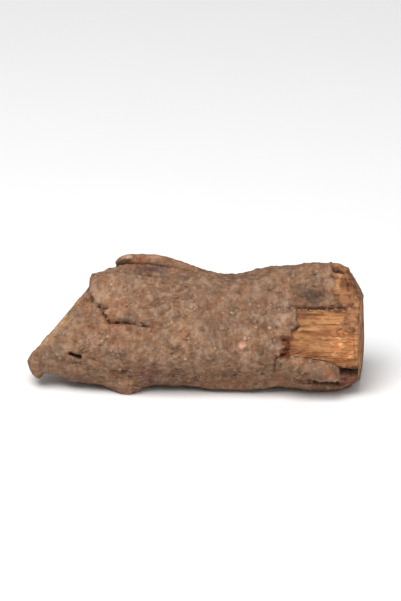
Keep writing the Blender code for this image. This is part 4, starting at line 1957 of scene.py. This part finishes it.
@dataclass
class BarkCurl:
    """The strip of bark along the crest that peeled up and rolled itself into an open quill."""

    steps: int = 190
    turns: int = 44
    angle: float = 70
    ends: Pair = (-24.5, 4)
    top: Line = Line((
        (-24.5, 40.7), (-23.7, 41.5), (-22.6, 42.2), (-21, 42.8), (-17.8, 43), (-13.3, 42.7), (-7.4, 41.5),
        (-2.6, 40), (1.8, 38.4), (4, 37.2),
    ))
    radius: Line = Line(((-24.5, 0.75), (-22.5, 1.2), (-20, 1.45), (-13, 1.5), (-6, 1.35), (4, 0.9)))
    opening: Pair = (-135, 158)
    end_torn: float = 0.45
    thickness: float = 0.5
    inside_shade: Colour = (0.3, 0.32, 0.28)

    def build(self) -> bpy.types.Object:
        """Rolls a grid up and gives it thickness.

        Returns:
            The piece.
        """
        piece, along, share = unit_grid("bark_curl", self.steps, self.turns)
        torn = self.end_torn * waves(spaced(share * 6), 1.3, 121) * (1 - smoothstep(0, 0.3, along))
        start = self.ends[0] + torn
        x = start + along * (self.ends[1] - start)
        reach = self.opening[1] + 26 * waves(spaced(x), 2.6, 122) + 14 * waves(spaced(x), 0.9, 123)
        turn = np.radians(self.opening[0] + share * (reach - self.opening[0]))
        radius = self.radius.at(x)
        crest = DRAWING.skin(x, np.full(len(x), self.angle))
        depth = DRAWING.to_plane(crest[:, 1], crest[:, 2])[0]
        spots = spaced(x, *DRAWING.from_plane(depth, self.top.at(x) - radius))
        outward = spaced(0.0, *DRAWING.from_plane(np.sin(turn), np.cos(turn)))
        rough, fine = SURFACE.bark.relief(spots + outward * radius[:, None])
        radius = radius + 0.6 * rough + 0.16 * waves(spots + outward * 2, (4, 2, 2), 124)
        spots = spots + outward * radius[:, None]
        move_points(piece, DRAWING.framed(spots))
        hold(piece, "fine", fine)
        under = smoothstep(100, 150, np.degrees(turn))
        under = np.maximum(under, smoothstep(62, 92, np.degrees(turn)) * (1 - smoothstep(-20.5, -18.5, x)))
        hold(piece, "tint", tint_at(spots) * (1 + under[:, None] * (np.array(self.inside_shade) - 1)))
        with_modifier(piece, "SOLIDIFY", thickness=self.thickness * MM, offset=-1.0)
        in_edit_mode(bpy.ops.mesh.normals_make_consistent, inside=False)
        return dress(piece, lone_material("curled_bark", OuterBark(), 0.12))


def small_cylinder(name: str, sides: int, depth: float) -> bpy.types.Object:
    """Adds a cylinder of radius 1 whose ends are fans."""
    add = bpy.ops.mesh.primitive_cylinder_add
    return primitive(add, name, vertices=sides, radius=1, depth=depth, end_fill_type="TRIFAN")


@dataclass(frozen=True)
class Copy:
    """One copy of a small form: its place, its axes, and its size along each."""

    place: Values
    axes: Values
    size: Three


def copies(model: bpy.types.Object, name: str, wanted: Iterable[Copy]) -> bpy.types.Object:
    """Makes one piece of many copies of a small form, and removes the form.

    Args:
        model: The form, around the origin, in millimetres.
        name: The new piece's name.
        wanted: Where the copies go, in millimetres of the drawing.

    Returns:
        The piece.
    """
    shape = points_of(model)
    faces = [tuple(face.vertices) for face in model.data.polygons]
    places, polygons = [], []
    for copy in wanted:
        start = len(places) * len(shape)
        places.append((shape * np.array(copy.size)) @ copy.axes + copy.place)
        polygons.extend(tuple(start + index for index in face) for face in faces)
    mesh = bpy.data.meshes.new(name)
    mesh.from_pydata(DRAWING.framed(np.concatenate(places)).tolist(), [], polygons)
    bpy.data.objects.remove(model)
    piece = bpy.data.objects.new(name, mesh)
    bpy.context.scene.collection.objects.link(piece)
    return piece


def stand_on(
    x: Values, angle: Values, chance: np.random.Generator, swing: float, tilt: float
) -> tuple[Values, Values, dict[Layer, Values]]:
    """Places on the root and axes that stand on it, turned and tilted by chance.

    Args:
        x: How far along the root.
        angle: The angle round it.
        chance: The source of chance.
        swing: The most that the first axis turns from the root's length, in degrees.
        tilt: The most that the third axis tilts, in degrees.

    Returns:
        The places, the axes, three rows for each, and how far each lies inside what shows of each layer.
    """
    skin = SURFACE.at(x, angle)
    up = DRAWING.facing(x, angle)
    swings = np.radians(chance.uniform(-swing, swing, len(x)))
    tilts = np.radians(chance.uniform(-tilt, tilt, (2, len(x))))
    along = unit(np.array((1.0, 0.0, 0.0)) - up * up[:, :1])
    across = np.cross(up, along)
    first = along * np.cos(swings)[:, None] + across * np.sin(swings)[:, None]
    second = np.cross(up, first)
    first = unit(first + up * np.tan(tilts[0])[:, None])
    second = unit(second + up * np.tan(tilts[1])[:, None])
    third = unit(np.cross(first, second))
    second = np.cross(third, first)
    return skin.points, np.stack((first, second, third), axis=1), skin.inside


def bark_alone(shown: dict[Layer, Values], clear: float) -> Values:
    """Where the outer bark shows, clear of every torn edge."""
    return np.maximum.reduce([shown[layer] for layer in BARE_LAYERS]) < -clear


@dataclass
class Lenticels:
    """The small raised breathing pores of the bark: many at random, and some where they show."""

    count: int = 150
    seed: int = 3
    along: Pair = (-46, 46)
    swing: float = 25
    tilt: float = 5
    clear: float = 0.8
    clear_of_chop: float = 1.5
    clear_of_floor: float = 0.6
    widths: Pair = (0.16, 0.34)
    seen_widths: Pair = (0.42, 0.55)
    seen: Points = (
        (-28.2, 16.9), (-25.3, 14.2), (-23.6, 12), (-26.3, 18.4), (-28.6, 13.2), (-32.5, 16.5), (-27.1, 8.5),
        (14.8, 18), (11, 25.5), (8, 25.8), (22, 21.5), (-3, 12),
    )

    def model(self) -> bpy.types.Object:
        """One pore: a low dome with a slit.

        Returns:
            The form, around the origin.
        """
        piece = primitive(bpy.ops.mesh.primitive_uv_sphere_add, "pore", segments=10, ring_count=6, radius=1)
        shape = points_of(piece)
        shape[:, 2] *= 0.5
        middle = (np.abs(shape[:, 1]) < 0.5) & (shape[:, 2] > 0.3)
        shape[middle, 2] -= 0.25
        move_points(piece, shape)
        return piece

    def build(self) -> bpy.types.Object:
        """Sets pores into the bark.

        Returns:
            The piece.
        """
        chance = np.random.default_rng(self.seed)
        x, angle = chance.uniform(*self.along, self.count), chance.uniform(0, 360, self.count)
        places, axes, shown = stand_on(x, angle, chance, self.swing, self.tilt)
        kept = bark_alone(shown, self.clear) & (x > CUTS.left_end(angle) + self.clear_of_chop)
        kept &= (places[:, 2] - DRAWING.origin[2]) > self.clear_of_floor
        widths = chance.uniform(*self.widths, self.count)
        x, height = np.array(self.seen).T
        seen, seen_axes, _ = stand_on(x, DRAWING.angle_at(x, height), chance, self.swing, self.tilt)
        places, axes = np.concatenate((places[kept], seen)), np.concatenate((axes[kept], seen_axes))
        widths = np.concatenate((widths[kept], chance.uniform(*self.seen_widths, len(seen))))
        sizes = [(width * 1.3, width, width * 0.8) for width in widths]
        wanted = [Copy(*spot) for spot in zip(places, axes, sizes)]
        cork = lone_material("pore_cork", Cork(), 0.1, tinted=False)
        return dress(copies(self.model(), "lenticels", wanted), cork)


@dataclass
class BarkFlakes:
    """Thin scales of bark that have come loose along an edge, none of them under the curl."""

    count: int = 380
    seed: int = 8
    along: Pair = (-47, 46)
    swing: float = 35
    tilt: float = 13
    clear: float = 1.6
    clear_of_chop: float = 2
    clear_of_floor: float = 1.5
    lengths: Pair = (0.5, 1.5)
    slimness: Pair = (0.45, 0.8)
    thickness: float = 0.14
    curl_middle: float = -13
    curl_half_length: float = 14
    curl_half_angle: float = 18

    def model(self) -> bpy.types.Object:
        """One flake: a thin plate with a ragged outline, a little hollow underneath.

        Returns:
            The form, around the origin.
        """
        piece = small_cylinder("flake", 11, 1)
        shape = points_of(piece)
        turn = np.arctan2(shape[:, 1], shape[:, 0])
        ragged = 1 + 0.22 * np.sin(2 * turn + 0.6) + 0.16 * np.sin(5 * turn + 2) + 0.1 * np.sin(3 * turn)
        shape[:, :2] *= ragged[:, None]
        away = np.hypot(shape[:, 0], shape[:, 1])
        shape[:, 2] += 1.2 * (1 - away**2)
        move_points(piece, shape)
        return piece

    def build(self) -> bpy.types.Object:
        """Lays flakes on the bark, lengthwise for the most part.

        Returns:
            The piece.
        """
        chance = np.random.default_rng(self.seed)
        x, angle = chance.uniform(*self.along, self.count), chance.uniform(0, 360, self.count)
        places, axes, shown = stand_on(x, angle, chance, self.swing, self.tilt)
        under_curl = np.abs(x - self.curl_middle) <= self.curl_half_length
        under_curl &= np.abs(turned(angle, BarkCurl.angle)) <= self.curl_half_angle
        kept = bark_alone(shown, self.clear) & (x > CUTS.left_end(angle) + self.clear_of_chop) & ~under_curl
        kept &= (places[:, 2] - DRAWING.origin[2]) > self.clear_of_floor
        lengths, slims = chance.uniform(*self.lengths, self.count), chance.uniform(*self.slimness, self.count)
        wanted = [
            Copy(places[i], axes[i], (lengths[i], lengths[i] * slims[i], self.thickness))
            for i in np.flatnonzero(kept)
        ]
        piece = copies(self.model(), "bark_flakes", wanted)
        hold(piece, "tint", np.repeat(tint_at(places[kept]), len(piece.data.vertices) // len(wanted), axis=0))
        return dress(piece, lone_material("loose_bark", OuterBark(), 0.1))


@dataclass
class Splinters:
    """Wood fibres that stand off along the torn and sawn edges."""

    count: int = 90
    seed: int = 12
    along: Points = ((29, 47.5), (40, 48))
    up: Points = ((9, 27), (8.6, 17))
    swing: float = 9
    tilt: float = 3
    clear: float = 0.4
    rise: float = 0.02
    lengths: Pair = (0.8, 2.6)
    widths: Pair = (0.05, 0.13)

    def model(self) -> bpy.types.Object:
        """One fibre: a long thin taper, flattened and slightly bent.

        Returns:
            The form, around the origin.
        """
        piece = small_cylinder("fibre", 6, 2)
        in_edit_mode(bpy.ops.mesh.subdivide, number_cuts=3)
        shape = points_of(piece)[:, [2, 1, 0]]
        taper = 0.12 + 0.88 * (1 - ((shape[:, :1] + 1) / 2) ** 2)
        shape[:, 1:] *= taper
        shape[:, 2:] += 2.2 * ((shape[:, :1] + 1) / 2) ** 2
        move_points(piece, shape)
        return piece

    def build(self) -> bpy.types.Object:
        """Sets fibres along the lower and right edges of the bare wood.

        Returns:
            The piece.
        """
        chance = np.random.default_rng(self.seed)
        half = self.count // 2
        x = np.concatenate([chance.uniform(*ends, half) for ends in self.along])
        height = np.concatenate([chance.uniform(*ends, half) for ends in self.up])
        angle = DRAWING.angle_at(x, height)
        spots, up = DRAWING.skin(x, angle), DRAWING.facing(x, angle)
        growth = GROWTH.relief(x, angle, spots)[0]
        kept = SURFACE.at(x, angle).inside[Layer.BARE_WOOD] > self.clear
        places = spots + up * (growth - WoodSlab.sink + self.rise)[:, None]
        axes = stand_on(x, angle, chance, self.swing, self.tilt)[1]
        lengths, widths = chance.uniform(*self.lengths, len(x)), chance.uniform(*self.widths, len(x))
        wanted = [Copy(places[i], axes[i], (lengths[i], widths[i], widths[i])) for i in np.flatnonzero(kept)]
        wood = lone_material("loose_fibre", Wood(), 0.05, tinted=False)
        return dress(copies(self.model(), "splinters", wanted), wood)


def towards(azimuth: float, elevation: float) -> Vector:
    """The way to an azimuth, from the front over the right, and an elevation, in degrees."""
    turn, rise = math.radians(azimuth), math.radians(elevation)
    return Vector((math.sin(turn) * math.cos(rise), -math.cos(turn) * math.cos(rise), math.sin(rise)))


def set_up(name: str, data: bpy.types.ID, place: Vector, away: Vector) -> bpy.types.Object:
    """Sets a light or a camera up at a place, facing back along a way.

    Args:
        name: Its name.
        data: The light or the camera.
        place: Where it stands.
        away: The way that its back faces.

    Returns:
        The new object.
    """
    stand = bpy.data.objects.new(name, data)
    stand.location = place
    stand.rotation_euler = away.to_track_quat("Z", "Y").to_euler()
    bpy.context.scene.collection.objects.link(stand)
    return stand


@dataclass(frozen=True)
class Softbox:
    """A large soft light that faces the root."""

    name: str
    azimuth: float
    elevation: float
    distance: float
    size: float
    watts: float

    def build(self) -> None:
        """Hangs the light."""
        away = towards(self.azimuth, self.elevation)
        light = bpy.data.lights.new(self.name, "AREA")
        light.shape = "DISK"
        light.size = self.size
        light.energy = self.watts
        set_up(self.name, light, away * self.distance, away)


@dataclass
class Studio:
    """The pale floor, the soft lights, the pale surroundings and the camera."""

    surroundings: float = 0.38
    floor_half: float = 3.0
    lights: tuple[Softbox, ...] = (
        Softbox("key", -26, 58, 1.1, 0.8, 12.5),
        Softbox("fill", 40, 30, 1.3, 1.0, 2.6),
    )
    distance: float = 1.8
    azimuth: float = 1.5
    elevation: float = 20
    width: float = 0.1208
    sensor: float = 36
    aim: Three = (0.0014, 0.0, 0.0262)

    def floor(self) -> None:
        """Lays a wide floor of matt white card."""
        floor = unit_grid("floor", 8, 8)[0]
        move_points(floor, points_of(floor) * 2 * self.floor_half)
        floor.data.materials.append(lone_material("white_card", WhiteCard(), 0.01, tinted=False))

    def surround(self) -> None:
        """Lights everything evenly from all round."""
        world = bpy.data.worlds.new("white_room")
        world.use_nodes = True
        glow = world.node_tree.nodes["Background"].inputs
        glow["Color"].default_value = (1, 1, 1, 1)
        glow["Strength"].default_value = self.surroundings
        bpy.context.scene.world = world

    def camera(self) -> None:
        """Stands a long lens where the photograph was taken from."""
        away = towards(self.azimuth, self.elevation)
        lens = bpy.data.cameras.new("camera")
        lens.sensor_fit = "HORIZONTAL"
        lens.sensor_width = self.sensor
        lens.lens = self.sensor * self.distance / self.width
        bpy.context.scene.camera = set_up("camera", lens, Vector(self.aim) + away * self.distance, away)

    def build(self) -> None:
        """Sets the studio up."""
        self.floor()
        self.surround()
        for light in self.lights:
            light.build()
        self.camera()
        bpy.context.scene.view_settings.view_transform = "Standard"


def main() -> None:
    """Builds every piece and the studio, and writes how large the dressed root is."""
    logging.basicConfig(level=logging.INFO, format="%(name)s: %(message)s")
    for part in (RootSkin(), WoodSlab(), BarkCurl(), Lenticels(), BarkFlakes(), Splinters()):
        part.build()
    Studio().build()


if __name__ == "__main__":
    main()
